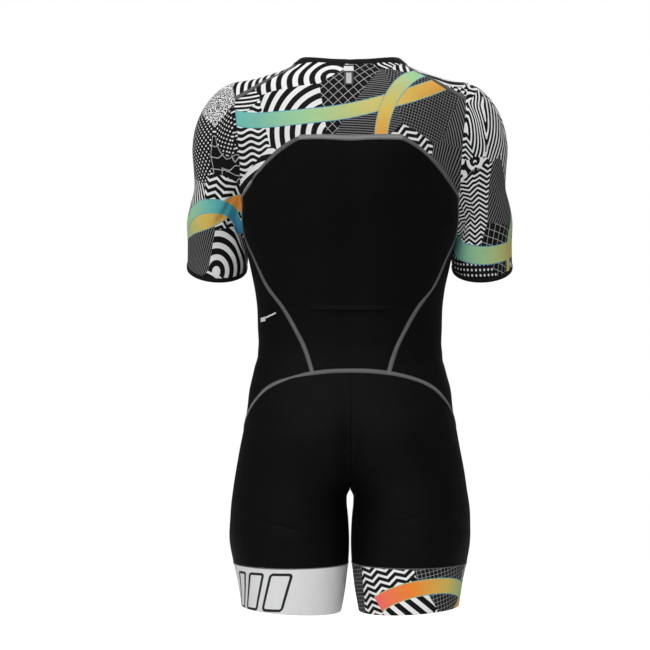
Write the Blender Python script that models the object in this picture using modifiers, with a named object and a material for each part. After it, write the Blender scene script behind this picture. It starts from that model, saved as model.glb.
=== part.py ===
"""A short-sleeved triathlon suit in the hollow form that it has when it is worn.

Frame: metres, +Z up. The suit's back faces +Y and the wearer's left is +X. The origin
lies midway between the two points where the shoulders meet the neck.

The cloth lies on a plain figure: a trunk of oval sections, two arms that hang slightly
forward, and two legs. Seams are short tables of points that are laid on the figure,
and each piece is a grid of points stretched between its seams, given its thickness by
a Solidify modifier. Neighbouring pieces share their seam points and stop short of them.
"""

import bpy
import numpy as np
from mathutils import Matrix

GARMENT = "triathlon_suit"

# Driving sizes, in metres.
CLOTH = 0.0011          # thickness of the body cloth
BINDING = 0.0020        # thickness of the folded bindings
SEAM_GAP = 0.0004       # gap between two pieces at a seam
LAID_ON = 0.0004        # gap between a piece and the panel that it lies on
CHEST = -0.130          # shoulder points are seen from this height at the trunk's middle
ARMPIT = -0.286         # height of the lowest point of the armholes
CROTCH = -0.690         # height of the crotch
HIP_LINE = -0.560       # below this height the trunk divides into the legs at the back
FRONT_LINE = -0.636     # and below this one at the front
SEAT_LINE = -0.775      # above this height the seat's fullness begins
BAND_TOP = -0.806       # upper seam of the leg bands
HEM = -0.8785           # lower edge of the leg bands, in the middle of the leg
HEM_DROP = 0.0044       # it is this much lower at the inseam, and higher outside
CUFF_HEIGHT = -0.3370   # lower edge of the sleeve at the arm's axis
CUFF_WIDTH = 0.0068     # width of the sleeve binding
CUFF_TILT = 0.45        # the cuff drops this much for each metre towards the back
CUFF_RISE = 0.091       # and rises this much for each metre away from the body
ZIP_WIDTH = 0.0086      # opening between the front panels along the zip
ZIP_END = -0.500        # height where the zip stops
ZIP_WALL = 0.0016       # thickness of the zip chain
LABEL_WIDTH = 0.0155
LABEL_ACROSS = 0.0030   # the label's middle lies this far left of the suit's middle
LABEL_TOP = -0.0205     # and its upper edge just under the neck binding
LABEL_END = -0.0547
POCKET_ROWS = 4         # the pocket covers this many rows of the back panel
POCKET_LOWER = 0.21     # but its upper edge lies this share of a row lower
POCKET_INSET = 0.004    # it stops this far inside the panel's edges
POCKET_LAID_ON = 0.0011  # and lies this far off the panel, whose faces it does not share

# The zip's slider and pull tab, in their own directions: across, out of the cloth, up.
SLIDER_HEIGHT = -0.080
SLIDER_BODY = (0.0090, 0.0024, 0.0120)
BRIDGE_WIDTH = 0.0024   # the arch on the slider that the pull tab hangs in
BRIDGE_LENGTH = 0.0090
BRIDGE_RISE = 0.0028
BRIDGE_BAR = 0.0008     # thickness of the arch over its opening
BRIDGE_POST = 0.0015    # length of each of its two feet
BRIDGE_SUNK = 0.0004    # the arch starts this far inside the slider's body
SLIDER_ROUNDING = 0.0006
PULL_WIDTH = 0.0070
PULL_LENGTH = 0.0260
PULL_WALL = 0.0012
PULL_EYE_WIDTH = 0.0040
PULL_EYE_LENGTH = 0.0040
PULL_AXIS_UP = 0.0016   # height of the hinge's axis above the arch's lower foot

# The figure -----------------------------------------------------------------------------


def table(columns, rows):
    """The columns of a short table, by name."""
    return dict(zip(columns.split(), np.array(rows, float).T))


TRUNK_POWER = 2.3       # 2 would make the trunk's sections ellipses
TRUNK = table("height half_width back front", (
    (0.060, 0.178, 0.046, -0.046),
    (0.000, 0.178, 0.060, -0.054),
    (-0.040, 0.178, 0.083, -0.070),
    (-0.080, 0.178, 0.096, -0.086),
    (-0.120, 0.178, 0.104, -0.101),
    (-0.160, 0.178, 0.107, -0.112),
    (-0.200, 0.178, 0.106, -0.119),
    (-0.230, 0.178, 0.104, -0.121),
    (-0.250, 0.177, 0.101, -0.121),
    (-0.290, 0.1695, 0.094, -0.120),
    (-0.330, 0.1610, 0.086, -0.117),
    (-0.375, 0.1520, 0.077, -0.115),
    (-0.400, 0.1490, 0.072, -0.114),
    (-0.435, 0.1482, 0.068, -0.113),
    (-0.465, 0.1475, 0.068, -0.113),
    (-0.502, 0.1545, 0.075, -0.112),
    (-0.530, 0.1610, 0.086, -0.111),
    (-0.560, 0.1645, 0.097, -0.109),
    (-0.600, 0.1715, 0.109, -0.106),
    (-0.640, 0.1785, 0.113, -0.102),
    (-0.675, 0.1850, 0.108, -0.098),
    (-0.690, 0.1870, 0.105, -0.096),
    (-0.720, 0.1910, 0.101, -0.092),
    (-0.771, 0.1920, 0.095, -0.089),
))

# Height of the shoulder slope at a distance from the neck's axis.
SLOPE = table("distance height", (
    (0.000, 0.100), (0.050, 0.058), (0.066, 0.022), (0.076, 0.0035), (0.088, -0.0090),
    (0.100, -0.0175), (0.120, -0.0250), (0.150, -0.0316), (0.195, -0.043), (0.300, -0.062),
))
SLOPE_OVAL = 1.30       # the slope falls faster towards back and chest than sideways
SLOPE_ROUND = 0.030     # how softly the slope turns into the back and the chest

ARM_TOP = -0.140        # above this height the arm is rounded off
ARM_DOME = 0.092        # height of that rounding
ARM = table("height outside inside middle half_depth", (
    (-0.140, 0.2540, 0.1210, 0.000, 0.0590),
    (-0.190, 0.2500, 0.1420, -0.007, 0.0575),
    (-0.210, 0.2500, 0.1530, -0.0115, 0.0570),
    (-0.230, 0.2552, 0.1640, -0.016, 0.0565),
    (-0.260, 0.2620, 0.1760, -0.024, 0.0560),
    (-0.290, 0.2625, 0.1692, -0.033, 0.0555),
    (-0.320, 0.2628, 0.1650, -0.042, 0.0550),
    (-0.350, 0.2636, 0.1700, -0.050, 0.0545),
    (-0.400, 0.2650, 0.1740, -0.065, 0.0535),
))
ARM_JOIN = 0.028        # how softly the arm joins the trunk at the shoulder
ARMPIT_JOIN = 0.003     # and at the armpit
ARM_JOIN_HEIGHTS = (-0.29, -0.13)   # the join softens between these heights
PARTING = 0.030         # below the armpit trunk and arm part by more than they overlap
PARTING_RISE = 0.030    # this far above the armpit they begin to part

LEG = table("height outside inside middle half_depth", (
    (-0.560, 0.1645, 0.0000, 0.004, 0.1020),
    (-0.600, 0.1715, 0.0000, 0.004, 0.1020),
    (-0.640, 0.1785, 0.0000, 0.004, 0.1010),
    (-0.690, 0.1870, 0.0002, 0.004, 0.0980),
    (-0.698, 0.1882, 0.0046, 0.004, 0.0970),
    (-0.708, 0.1895, 0.0052, 0.004, 0.0960),
    (-0.735, 0.1915, 0.0030, 0.003, 0.0940),
    (-0.771, 0.1920, 0.0014, 0.002, 0.0915),
    (-0.806, 0.1865, 0.0022, 0.001, 0.0885),
    (-0.838, 0.1795, 0.0064, 0.000, 0.0860),
    (-0.877, 0.1735, 0.0128, 0.000, 0.0835),
    (-0.900, 0.1700, 0.0165, 0.000, 0.0820),
))

# How much of the hip is in the leg's surface, by the turn from centre back to centre front.
HIP_TURNS = (0.25, 0.85)    # the hip's upper limit falls to the front line between these turns
SEAM_TURN = 0.24            # and its fading slows over this much turn beside the seams

# Soft forms of the back: shoulder blades, spine, seat and the cleft of the seat.
FORMS = table("across height reach_across reach_up rise", (
    (0.085, -0.130, 0.050, 0.060, 0.004),
    (0.000, -0.300, 0.022, 0.150, -0.004),
    (0.082, -0.610, 0.058, 0.060, 0.010),
    (0.000, -0.640, 0.020, 0.070, -0.010),
))
FORMS_BACK = (0.2, 0.8)     # they rise between these shares of the way from middle to back


def eased(rows, column, at, along="height"):
    """A column of a table at any place: a smooth line through its rows."""
    place, value = rows[along], rows[column]
    if place[0] > place[-1]:
        place, value = place[::-1], value[::-1]
    slope = np.gradient(value, place)
    at = np.clip(at, place[0], place[-1])
    row = np.clip(np.searchsorted(place, at) - 1, 0, len(place) - 2)
    step = place[row + 1] - place[row]
    t = (at - place[row]) / step
    near = (1 + 2 * t) * (1 - t) ** 2 * value[row] + t * (1 - t) ** 2 * step * slope[row]
    far = t * t * (3 - 2 * t) * value[row + 1] - t * t * (1 - t) * step * slope[row + 1]
    return near + far


def ramp(low, high, value):
    """0 below low, 1 above high, and a smooth step between."""
    t = np.clip((value - low) / (high - low), 0, 1)
    return t * t * (3 - 2 * t)


def soft_min(a, b, width):
    """The smaller of two distances, rounded where they cross."""
    h = np.clip(0.5 + 0.5 * (b - a) / width, 0, 1)
    return b + (a - b) * h - width * h * (1 - h)


def back_forms(across, height):
    """How far the soft forms push the back out."""
    across, height = np.abs(across)[..., None], np.asarray(height)[..., None]
    aside = (across - FORMS["across"]) / FORMS["reach_across"]
    above = (height - FORMS["height"]) / FORMS["reach_up"]
    return (FORMS["rise"] * np.exp(-aside ** 2 - above ** 2)).sum(-1)


def trunk_section(height):
    """Half width, middle and half depth of the trunk at a height."""
    back, front = eased(TRUNK, "back", height), eased(TRUNK, "front", height)
    return eased(TRUNK, "half_width", height), (back + front) / 2, (back - front) / 2


def trunk_distance(point):
    """Roughly how far a point lies outside the trunk."""
    x, y, z = np.abs(point[..., 0]), point[..., 1], point[..., 2]
    half_width, middle, half_depth = trunk_section(z)
    inward = y - middle - back_forms(x, z) * ramp(*FORMS_BACK, (y - middle) / half_depth)
    power = TRUNK_POWER
    size = ((x / half_width) ** power + (np.abs(inward) / half_depth) ** power) ** (1 / power)
    wall = (size - 1) * half_depth
    slope = z - eased(SLOPE, "height", np.hypot(x, SLOPE_OVAL * y), along="distance")
    return -soft_min(-wall, -slope, SLOPE_ROUND)


def arm_section(height):
    """Axis (x, y) and half width and half depth of the arm at a height."""
    outside, inside = eased(ARM, "outside", height), eased(ARM, "inside", height)
    middle, half_depth = eased(ARM, "middle", height), eased(ARM, "half_depth", height)
    return (outside + inside) / 2, middle, (outside - inside) / 2, half_depth


def arm_distance(point):
    """Roughly how far a point lies outside the arm."""
    x, y, z = np.abs(point[..., 0]), point[..., 1], point[..., 2]
    axis_x, axis_y, half_width, half_depth = arm_section(z)
    dome = np.maximum(z - ARM_TOP, 0) / ARM_DOME
    size = np.sqrt(((x - axis_x) / half_width) ** 2 + ((y - axis_y) / half_depth) ** 2 + dome ** 2)
    return (size - 1) * half_width


def joined(point, apart_trunk, apart_arm):
    """Distance outside trunk and arm together, above the armpit.

    Below the armpit they are kept apart: one of the two is moved out of the other's way.
    """
    height = point[..., 2]
    clear = PARTING * (1 - ramp(ARMPIT, ARMPIT + PARTING_RISE, height))
    softness = ARMPIT_JOIN + ARM_JOIN * ramp(*ARM_JOIN_HEIGHTS, height)
    trunk = trunk_distance(point) + apart_trunk * clear
    return soft_min(trunk, arm_distance(point) + apart_arm * clear, softness)


def body_distance(point):
    """The figure as the trunk's pieces see it, with no arm below the armpit."""
    return joined(point, 0, 1)


def sleeve_distance(point):
    """The figure as the sleeves see it, with no trunk below the armpit."""
    return joined(point, 1, 0)


def settle(points):
    """Moves points straight to the figure's surface, against the slope of the distance."""
    for _ in range(SETTLE_ROUNDS):
        here = body_distance(points)
        steps = [body_distance(points + SETTLE_STEP * axis) - here for axis in np.eye(3)]
        slope = np.stack(steps, -1) / SETTLE_STEP
        square = np.maximum((slope ** 2).sum(-1), FLATTEST)
        points = points - (here / square)[..., None] * slope
    return points


def cast(origin, target, distance):
    """Where the rays from origin through target first leave the figure."""
    ray = target - origin
    ray = ray / np.linalg.norm(ray, axis=-1, keepdims=True)
    reach = np.arange(*CAST_REACH)
    outside = np.stack([distance(origin + t * ray) > 0 for t in reach])
    first = np.clip(outside.argmax(0), 1, None)
    low, high = reach[first - 1], reach[first]
    for _ in range(HALVINGS):
        middle = (low + high) / 2
        out = distance(origin + middle[..., None] * ray) > 0
        low, high = np.where(out, low, middle), np.where(out, middle, high)
    return origin + high[..., None] * ray


def trunk_hub(point):
    """A place inside the trunk from which a point on it is seen squarely."""
    middle = trunk_section(point[..., 2])[1]
    return np.stack([point[..., 0] / 2, middle, np.minimum(point[..., 2], CHEST)], -1)


def arm_hub(point):
    """A place on the arm's axis from which a point on it is seen squarely."""
    height = np.minimum(point[..., 2], ARM_TOP)
    axis_x, axis_y, _, _ = arm_section(height)
    return np.stack([axis_x, axis_y, height], -1)


# How points are brought to the figure's surface.
SETTLE_ROUNDS = 6
SETTLE_STEP = 0.0005
FLATTEST = 0.2                      # the least square of a slope that is divided by
CAST_REACH = (0.004, 0.300, 0.004)  # first, last and step of the places tried along a ray
HALVINGS = 16                       # and how often the step with the crossing is halved

# Seams, all on the wearer's left. Each row is a point near the seam, in millimetres:
# across, towards the back, up. Rows that two tables share are where the seams meet.

SHOULDER_NECK = (87.5, 26, -16)
SHOULDER_ARM = (182, 47, -70.5)
YOKE_ARM = (173.5, 35, -226)
PANEL_ARM = (173, 24, -250)
FRONT_ARM = (172, -56, -243)
PANEL_CORNER = (81, 106, -136.5)
PANEL_WAIST = (59.5, 70.7, -502)
FRONT_WAIST = (92, -92, -628)

NECK_SEAM = ((0, 67, -18), (32, 63, -15.5), (63, 50.5, -12), SHOULDER_NECK, (90.5, -2, -14),
             (86, -40, -24), (64, -67, -43), (30, -82, -58), (0, -87, -62))
NECK_EDGE = ((0, 61.7, -10.3), (31, 58, -8.2), (57, 46.9, -3.9), (76, 21, -2.3), (79.5, -4, -5),
             (77, -38, -14.5), (54, -60, -33), (26, -72, -48), (0, -77, -53))
SHOULDER_SEAM = (SHOULDER_NECK, (101.5, 46, -26), (129.5, 56.5, -43), (157.5, 51, -57.5), SHOULDER_ARM)
ARMHOLE = (SHOULDER_ARM, (180, 50, -97), (175.5, 52, -146), YOKE_ARM, PANEL_ARM,
           (170, -14, -286), FRONT_ARM, (171, -66, -205), (168, -72, -150), (172, -60, -95),
           (182, -28, -54), (187, 6, -43), (184.5, 34, -55))
PANEL_TOP = ((-81, 106, -136.5), (-44, 110, -136), (0, 111, -137.5), (44, 110, -136), PANEL_CORNER)
PANEL_SIDE_HIGH = (PANEL_CORNER, (107, 98, -151.7), (149, 76, -187), YOKE_ARM)
PANEL_SIDE_LOW = (PANEL_ARM, (169.4, 9, -281.8), (154, 27.5, -318.5), (133.5, 37.7, -363.8),
                  (107.9, 49.7, -397.1), (88.5, 55, -430), (72, 60, -463), PANEL_WAIST)
FRONT_SIDE = (FRONT_ARM, (158, -66, -300), (136, -84, -370), (124, -88, -440), (116, -90, -520),
              (106, -92, -590), FRONT_WAIST)
WAIST = ((0, 73, -498), (32, 73, -499), PANEL_WAIST, (94, 64, -509.7), (127, 52.5, -523.5),
         (154, 34, -551), (170, -14, -596), (160, -56, -612), (128, -82, -622), FRONT_WAIST,
         (46, -102, -634), (0, -103, -636))

# How many steps each stretch of a seam is divided into.
STEPS = {"shoulder": 4, "panel_top": 8, "yoke_arm": 6, "panel_arm": 2, "underarm": 12,
         "front_arm": 8, "side": 9, "neck_front": 5, "sleeve": 7, "hip": 6, "leg": 3}
FINE_STEPS = 24             # a seam is first read at this many places for each step

# How rows and columns are spaced.
YOKE_CROWD = 1.25           # the armhole's steps are closer together under the arm, at the back
ARM_CROWD = 1.5             # and at the front
FRONT_CROWD = 1.2           # the front's rows are closer together towards the neck
SLEEVE_FALL = (0.2, 1.5)    # the sleeve's rows leave the armhole slowly: even share and power
HIP_CROWD = 1.35            # the hip's rows are closer together at the waist seam
CROTCH_ROW = 0.008          # the leg's first row of its own lies this far below the crotch
CUFF_ROUNDS = 12            # how often a cuff point is brought closer to the tilted plane


def lengths(points):
    """How far along a run of points each one lies."""
    return np.concatenate([[0], np.cumsum(np.linalg.norm(np.diff(points, axis=0), axis=1))])


def drawn(rows, closed=False):
    """A smooth line through a seam's rows, as a function of the row number."""
    rows = np.array(rows, float) / 1000
    if closed:
        rows = np.vstack([rows, rows[:1]])
    reach = lengths(rows)
    slope = np.gradient(rows, reach, axis=0)
    if closed:
        slope[0] = slope[-1] = (rows[1] - rows[-2]) / (reach[1] + reach[-1] - reach[-2])

    def line(at):
        k = np.clip(at.astype(int), 0, len(rows) - 2)
        t = (at - k)[:, None]
        step = (reach[k + 1] - reach[k])[:, None]
        near = (1 + 2 * t) * (1 - t) ** 2 * rows[k] + t * (1 - t) ** 2 * step * slope[k]
        far = t * t * (3 - 2 * t) * rows[k + 1] - t * t * (1 - t) * step * slope[k + 1]
        return near + far
    return line


def stretch(line, start, end, steps, crowd=1.0):
    """Points on the figure along a stretch of a seam, both ends included.

    They are evenly spaced where crowd is 1, and closer together towards the stretch's end
    where it is more.
    """
    fine = settle(line(np.linspace(start, end, FINE_STEPS * steps + 1)))
    reach = lengths(fine)
    stops = reach[-1] * (1 - (1 - np.linspace(0, 1, steps + 1)) ** crowd)
    return np.stack([np.interp(stops, reach, fine[:, i]) for i in range(3)], -1)


def follow(*stretches):
    """One run of points from several stretches that meet end to end."""
    return np.vstack([stretches[0]] + [part[1:] for part in stretches[1:]])


def mirrored(points):
    """The same points on the wearer's right, in the opposite order along the row."""
    return points[..., ::-1, :] * (-1, 1, 1)


def seams():
    """Every seam's points on the wearer's left, by name."""
    n = STEPS
    hole = drawn(ARMHOLE, closed=True)
    waist = drawn(WAIST)
    neck = drawn(NECK_SEAM)
    side_low, front_side = drawn(PANEL_SIDE_LOW), drawn(FRONT_SIDE)
    found = {
        "shoulder": stretch(drawn(SHOULDER_SEAM), 0, 4, n["shoulder"]),
        "yoke_arm": stretch(hole, 3, 0, n["yoke_arm"], crowd=YOKE_CROWD)[::-1],
        "panel_arm": stretch(hole, 3, 4, n["panel_arm"]),
        "underarm": stretch(hole, 4, 6, n["underarm"]),
        "front_arm": stretch(hole, 6, 13, n["front_arm"], crowd=ARM_CROWD),
        "panel_top": stretch(drawn(PANEL_TOP), 0, 4, n["panel_top"]),
        "panel_high": stretch(drawn(PANEL_SIDE_HIGH), 0, 3, n["shoulder"]),
        "panel_low": stretch(side_low, 0, 7, n["side"]),
        "front_side": stretch(front_side, 0, 6, n["side"]),
        "neck_back": stretch(neck, 0, 3, n["panel_top"] // 2),
        "neck_front": stretch(neck, 3, 8, n["neck_front"]),
        "waist_back": stretch(waist, 0, 2, n["panel_top"] // 2),
        "waist_side": stretch(waist, 2, 9, n["underarm"]),
        "waist_front": stretch(waist, 9, 11, n["shoulder"] + n["neck_front"]),
    }
    return found


def share(one, other):
    """How far along each pair of opposite points lies, from 0 to 1."""
    return (lengths(one) / lengths(one)[-1] + lengths(other) / lengths(other)[-1]) / 2


def between(top, bottom, left, right):
    """A grid of points stretched between four seams and laid on the figure.

    Rows run from top to bottom and columns from left to right. Each inner point is first
    blended from the four edges and then moved out along a ray from inside the figure.
    """
    u = share(top, bottom)[None, :, None]
    v = share(left, right)[:, None, None]
    corners = (1 - u) * ((1 - v) * top[0] + v * bottom[0]) + u * ((1 - v) * top[-1] + v * bottom[-1])
    grid = (1 - v) * top + v * bottom + (1 - u) * left[:, None] + u * right[:, None] - corners
    inner = grid[1:-1, 1:-1]
    grid[1:-1, 1:-1] = cast(trunk_hub(inner), inner, body_distance)
    grid[0], grid[-1], grid[:, 0], grid[:, -1] = top, bottom, left, right
    return grid


def trimmed(grid, ring=False):
    """The grid with its edges drawn in by half of the seam gap."""
    grid = grid.copy()
    for edge, inner in ((0, 1), (-1, -2)):
        step = grid[inner] - grid[edge]
        grid[edge] += step / np.linalg.norm(step, axis=-1, keepdims=True) * SEAM_GAP / 2
    if not ring:
        for edge, inner in ((0, 1), (-1, -2)):
            step = grid[:, inner] - grid[:, edge]
            grid[:, edge] += step / np.linalg.norm(step, axis=-1, keepdims=True) * SEAM_GAP / 2
    return grid


# Pieces ---------------------------------------------------------------------------------

def yoke_grid(s):
    """The printed yoke, between the neck, the armholes and the back panel."""
    neck = follow(mirrored(s["neck_back"]), s["neck_back"])
    top = follow(mirrored(s["shoulder"]), neck, s["shoulder"])
    bottom = follow(mirrored(s["panel_high"]), s["panel_top"], s["panel_high"])
    arm = s["yoke_arm"]
    return between(top, bottom, arm * (-1, 1, 1), arm)


def panel_grid(s):
    """The black back panel, from the shoulder blades to the waist seam."""
    side = follow(s["panel_high"], s["panel_arm"], s["panel_low"])
    bottom = follow(mirrored(s["waist_back"]), s["waist_back"])
    return between(s["panel_top"], bottom, side * (-1, 1, 1), side)


def side_grid(s):
    """The side panel, from the armpit to the waist seam."""
    return between(s["underarm"], s["waist_side"], s["panel_low"], s["front_side"])


def drop_to_figure(across, height, side):
    """Where level lines to the back (side 1) or the chest (side -1) leave the figure."""
    hub = np.stack([across, 0 * across, height], -1)
    return cast(hub, hub + (0, side, 0), body_distance)


def front_edge(s):
    """The front panel's inner edge: beside the zip, then on the centre line below it."""
    top, bottom = s["neck_front"][-1], s["waist_front"][-1]
    steps = STEPS["front_arm"] + STEPS["side"]
    height = top[2] + (bottom[2] - top[2]) * np.linspace(0, 1, steps + 1) ** FRONT_CROWD
    across = np.where(height > ZIP_END, ZIP_WIDTH / 2 - SEAM_GAP / 2, 0)
    return drop_to_figure(across, height, -1)


def front_grid(s):
    """The front panel, from behind the shoulder ridge down to the waist seam."""
    edge = front_edge(s)
    top = follow(s["shoulder"][::-1], s["neck_front"])
    bottom = s["waist_front"].copy()
    top[-1], bottom[-1] = edge[0], edge[-1]
    outer = follow(s["front_arm"][::-1], s["front_side"])
    return between(top, bottom, outer, edge)


def cuff_plane(angle, drop):
    """Points round the arm on the tilted plane of the sleeve's end, raised by drop."""
    middle_x, middle_y, _, _ = arm_section(CUFF_HEIGHT)
    height = np.full_like(angle, CUFF_HEIGHT + drop)
    for _ in range(CUFF_ROUNDS):
        axis_x, axis_y, half_width, half_depth = arm_section(height)
        x, y = axis_x - half_width * np.cos(angle), axis_y + half_depth * np.sin(angle)
        height = CUFF_HEIGHT + drop - CUFF_TILT * (y - middle_y) + CUFF_RISE * (x - middle_x)
    return np.stack([x, y, height], -1)


def armhole(s):
    """The armhole from under the arm, up the back, over the shoulder and down the front."""
    under = s["underarm"]
    half = len(under) // 2
    return follow(under[half::-1], s["panel_arm"][::-1], s["yoke_arm"][::-1],
                  s["front_arm"][::-1], under[:half - 1:-1])


def sleeve_grids(s):
    """The sleeve, open along the underarm, and its binding."""
    top = armhole(s)
    angle = 2 * np.pi * lengths(top) / lengths(top)[-1]
    end = cuff_plane(angle, CUFF_WIDTH)
    fall = np.linspace(0, 1, STEPS["sleeve"] + 1)[:, None, None]
    even, power = SLEEVE_FALL
    grid = top + (end - top) * (even * fall + (1 - even) * fall ** power)
    grid[1:-1] = cast(arm_hub(grid[1:-1]), grid[1:-1], sleeve_distance)
    grid[-1] = end
    return grid, np.array([end, cuff_plane(angle, 0)])[:, :-1]


def hip_weight(turn, height):
    """How much of the hip is in the leg's surface.

    At the seams under the body it drops to 0 at the crotch and turns straight down there.
    Elsewhere it fades slowly, so the seat runs down into the thigh.
    """
    top = HIP_LINE + (FRONT_LINE - HIP_LINE) * ramp(*HIP_TURNS, turn)
    s = np.clip((height - CROTCH) / (top - CROTCH), 0, 1)
    at_seam = np.sqrt(s * (2 - s))
    beside = ramp(SEAT_LINE, top, height)
    return at_seam + (beside - at_seam) * ramp(0, SEAM_TURN, np.minimum(turn, 1 - turn))


def leg_point(turn, height):
    """The surface of hip and leg: turn runs from 0 at centre back to 1 at centre front.

    Above the crotch it is a blend of the trunk's half section and the leg's full section,
    so that its two edges come together under the crotch and run on down the inseam.
    """
    half_width, middle, half_depth = trunk_section(height)
    sine, cosine = np.sin(np.pi * turn), np.cos(np.pi * turn)
    power = 2 / TRUNK_POWER
    hip_x = half_width * np.abs(sine) ** power
    hip_y = middle + half_depth * np.sign(cosine) * np.abs(cosine) ** power
    hip_y = hip_y + back_forms(hip_x, height) * ramp(*FORMS_BACK, cosine)
    outside = eased(LEG, "outside", height)
    inside = np.maximum(eased(LEG, "inside", height), SEAM_GAP / 2)
    leg_x = (outside + inside) / 2 - (outside - inside) / 2 * np.cos(2 * np.pi * turn)
    leg_y = eased(LEG, "middle", height) + eased(LEG, "half_depth", height) * np.sin(2 * np.pi * turn)
    weight = hip_weight(turn, height)
    x = weight * hip_x + (1 - weight) * leg_x
    y = weight * hip_y + (1 - weight) * leg_y
    return np.stack([x, y, height + 0 * x], -1)


def turn_of(point):
    """Where round the hip a point of the waist seam lies, as leg_point counts it."""
    half_width, middle, half_depth = trunk_section(point[..., 2])
    inward = point[..., 1] - middle
    power = TRUNK_POWER / 2
    sine = (np.abs(point[..., 0]) / half_width) ** power
    cosine = np.sign(inward) * (np.abs(inward) / half_depth) ** power
    return np.arctan2(sine, cosine) / np.pi


def leg_grids(s):
    """The leg from the waist seam to its band, and the band itself."""
    top = follow(s["waist_back"], s["waist_side"], s["waist_front"])
    start = turn_of(top)
    even = np.linspace(0, 1, len(top))
    hip = np.sin(np.linspace(0, np.pi / 2, STEPS["hip"] + 1))[1:] ** HIP_CROWD
    rows = [top]
    for down in hip:
        turn = start + (even - start) * ramp(0, 1, np.array(down))
        rows.append(leg_point(turn, top[:, 2] + (CROTCH - top[:, 2]) * down))
    heights = np.linspace(CROTCH, BAND_TOP, STEPS["leg"] + 1)
    heights[0] -= CROTCH_ROW
    rows += [leg_point(even, np.full(len(top), z)) for z in heights]
    hem = HEM - HEM_DROP * np.cos(2 * np.pi * even)
    band = [leg_point(even, BAND_TOP + (hem - BAND_TOP) * down) for down in (0, 0.5, 1)]
    return np.array(rows), np.array(band)[:, :-1]


def neck_grid(s):
    """The binding round the neck, from one side of the zip to the other."""
    line = drawn(NECK_EDGE)
    half_edge = follow(stretch(line, 0, 3, len(s["neck_back"]) - 1),
                       stretch(line, 3, 8, len(s["neck_front"]) - 1))
    half_seam = follow(s["neck_back"], s["neck_front"])
    grid = np.array([follow(mirrored(half), half) for half in (half_edge, half_seam)])
    grid[:, 0, 0] -= ZIP_WIDTH / 2
    grid[:, -1, 0] += ZIP_WIDTH / 2
    return grid


def lifted(grid, height):
    """The grid moved out from the figure."""
    down = np.gradient(grid, axis=0)
    along = np.gradient(grid, axis=1)
    normal = np.cross(along, down)
    return grid + height * normal / np.linalg.norm(normal, axis=-1, keepdims=True)


def inset(grid, amount):
    """The grid with its four edges drawn in, corners included."""
    grid = grid.copy()
    for axis in (0, 1):
        rows = np.swapaxes(grid, 0, axis)
        for edge, inner in ((0, 1), (-1, -2)):
            step = rows[inner] - rows[edge]
            rows[edge] += step / np.linalg.norm(step, axis=-1, keepdims=True) * amount
    return grid


def pocket_grid(panel):
    """The rear pocket: the lower rows of the back panel, moved out."""
    pocket = lifted(panel, POCKET_LAID_ON + CLOTH)[-POCKET_ROWS - 1:]
    pocket[0] += POCKET_LOWER * (pocket[1] - pocket[0])
    return inset(pocket, POCKET_INSET)


def label_grid():
    """The label, turned down from the neck over the yoke."""
    across = LABEL_ACROSS + LABEL_WIDTH * np.array((-0.5, 0.0, 0.5))
    height = np.linspace(LABEL_TOP, LABEL_END, 5)
    grid = drop_to_figure(*np.meshgrid(across, height), 1)
    return lifted(grid, LAID_ON + CLOTH)


def zip_grid(s):
    """The zip chain, between the two front panels and up through the neck binding."""
    edge = front_edge(s)
    edge = edge[edge[:, 2] > ZIP_END]
    top = stretch(drawn(NECK_EDGE), 7, 8, 1)[-1]
    left = np.vstack([top, edge])
    left[:, 0] = ZIP_WIDTH / 2 - SEAM_GAP
    return np.stack([left, left * (-1, 1, 1)], 1)


# Meshes ---------------------------------------------------------------------------------

FINISHES = {
    "black": ((0.006, 0.006, 0.007), 0.55),
    "print": ((0.45, 0.43, 0.38), 0.6),
    "white": ((0.80, 0.80, 0.80), 0.6),
    "binding": ((0.010, 0.010, 0.011), 0.6),
    "label": ((0.02, 0.02, 0.02), 0.5),
    "zip": ((0.03, 0.03, 0.03), 0.4),
    "metal": ((0.06, 0.06, 0.065), 0.35),
}


def new_material(finish):
    """A Principled material of the named finish."""
    if finish in bpy.data.materials:
        return bpy.data.materials[finish]
    color, roughness = FINISHES[finish]
    material = bpy.data.materials.new(finish)
    material.use_nodes = True
    shader = material.node_tree.nodes["Principled BSDF"]
    shader.inputs["Base Color"].default_value = (*color, 1)
    shader.inputs["Roughness"].default_value = roughness
    return material


def add_cloth(name, grid, finish, wall=CLOTH, ring=False, proud=0.0):
    """A piece of cloth: the grid as an open surface, thickened inwards but for proud."""
    rows, columns = grid.shape[:2]
    number = np.arange(rows * columns).reshape(rows, columns)
    if ring:
        number = np.hstack([number, number[:, :1]])
    faces = np.stack([number[:-1, :-1], number[:-1, 1:], number[1:, 1:], number[1:, :-1]], -1)
    mesh = bpy.data.meshes.new(name)
    mesh.from_pydata(grid.reshape(-1, 3).tolist(), [], faces.reshape(-1, 4).tolist())
    mesh.materials.append(new_material(finish))
    mesh.shade_smooth()
    cloth = bpy.data.objects.new(name, mesh)
    thickness = cloth.modifiers.new("cloth", "SOLIDIFY")
    thickness.thickness = wall
    thickness.offset = 2 * proud / wall - 1
    parts.objects.link(cloth)
    return cloth


def add_pair(name, grid, finish, **how):
    """A piece and its mirror image, on the wearer's left and right."""
    left, right = finish if isinstance(finish, tuple) else (finish, finish)
    add_cloth(name + "_left", grid, left, **how)
    add_cloth(name + "_right", mirrored(grid), right, **how)


def add_box(name, low, high, place, collection):
    """A box between two corners given across, outwards and up from the slider's seat."""
    bpy.ops.mesh.primitive_cube_add(size=1)
    box = bpy.context.object
    box.name = name
    low, high = np.array(low), np.array(high)
    middle, size = (low + high) / 2, high - low
    for corner in box.data.vertices:
        corner.co = np.array(corner.co) * size + middle * (1, -1, 1)
    for home in list(box.users_collection):
        home.objects.unlink(box)
    collection.objects.link(box)
    box.matrix_world = place
    return box


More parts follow.
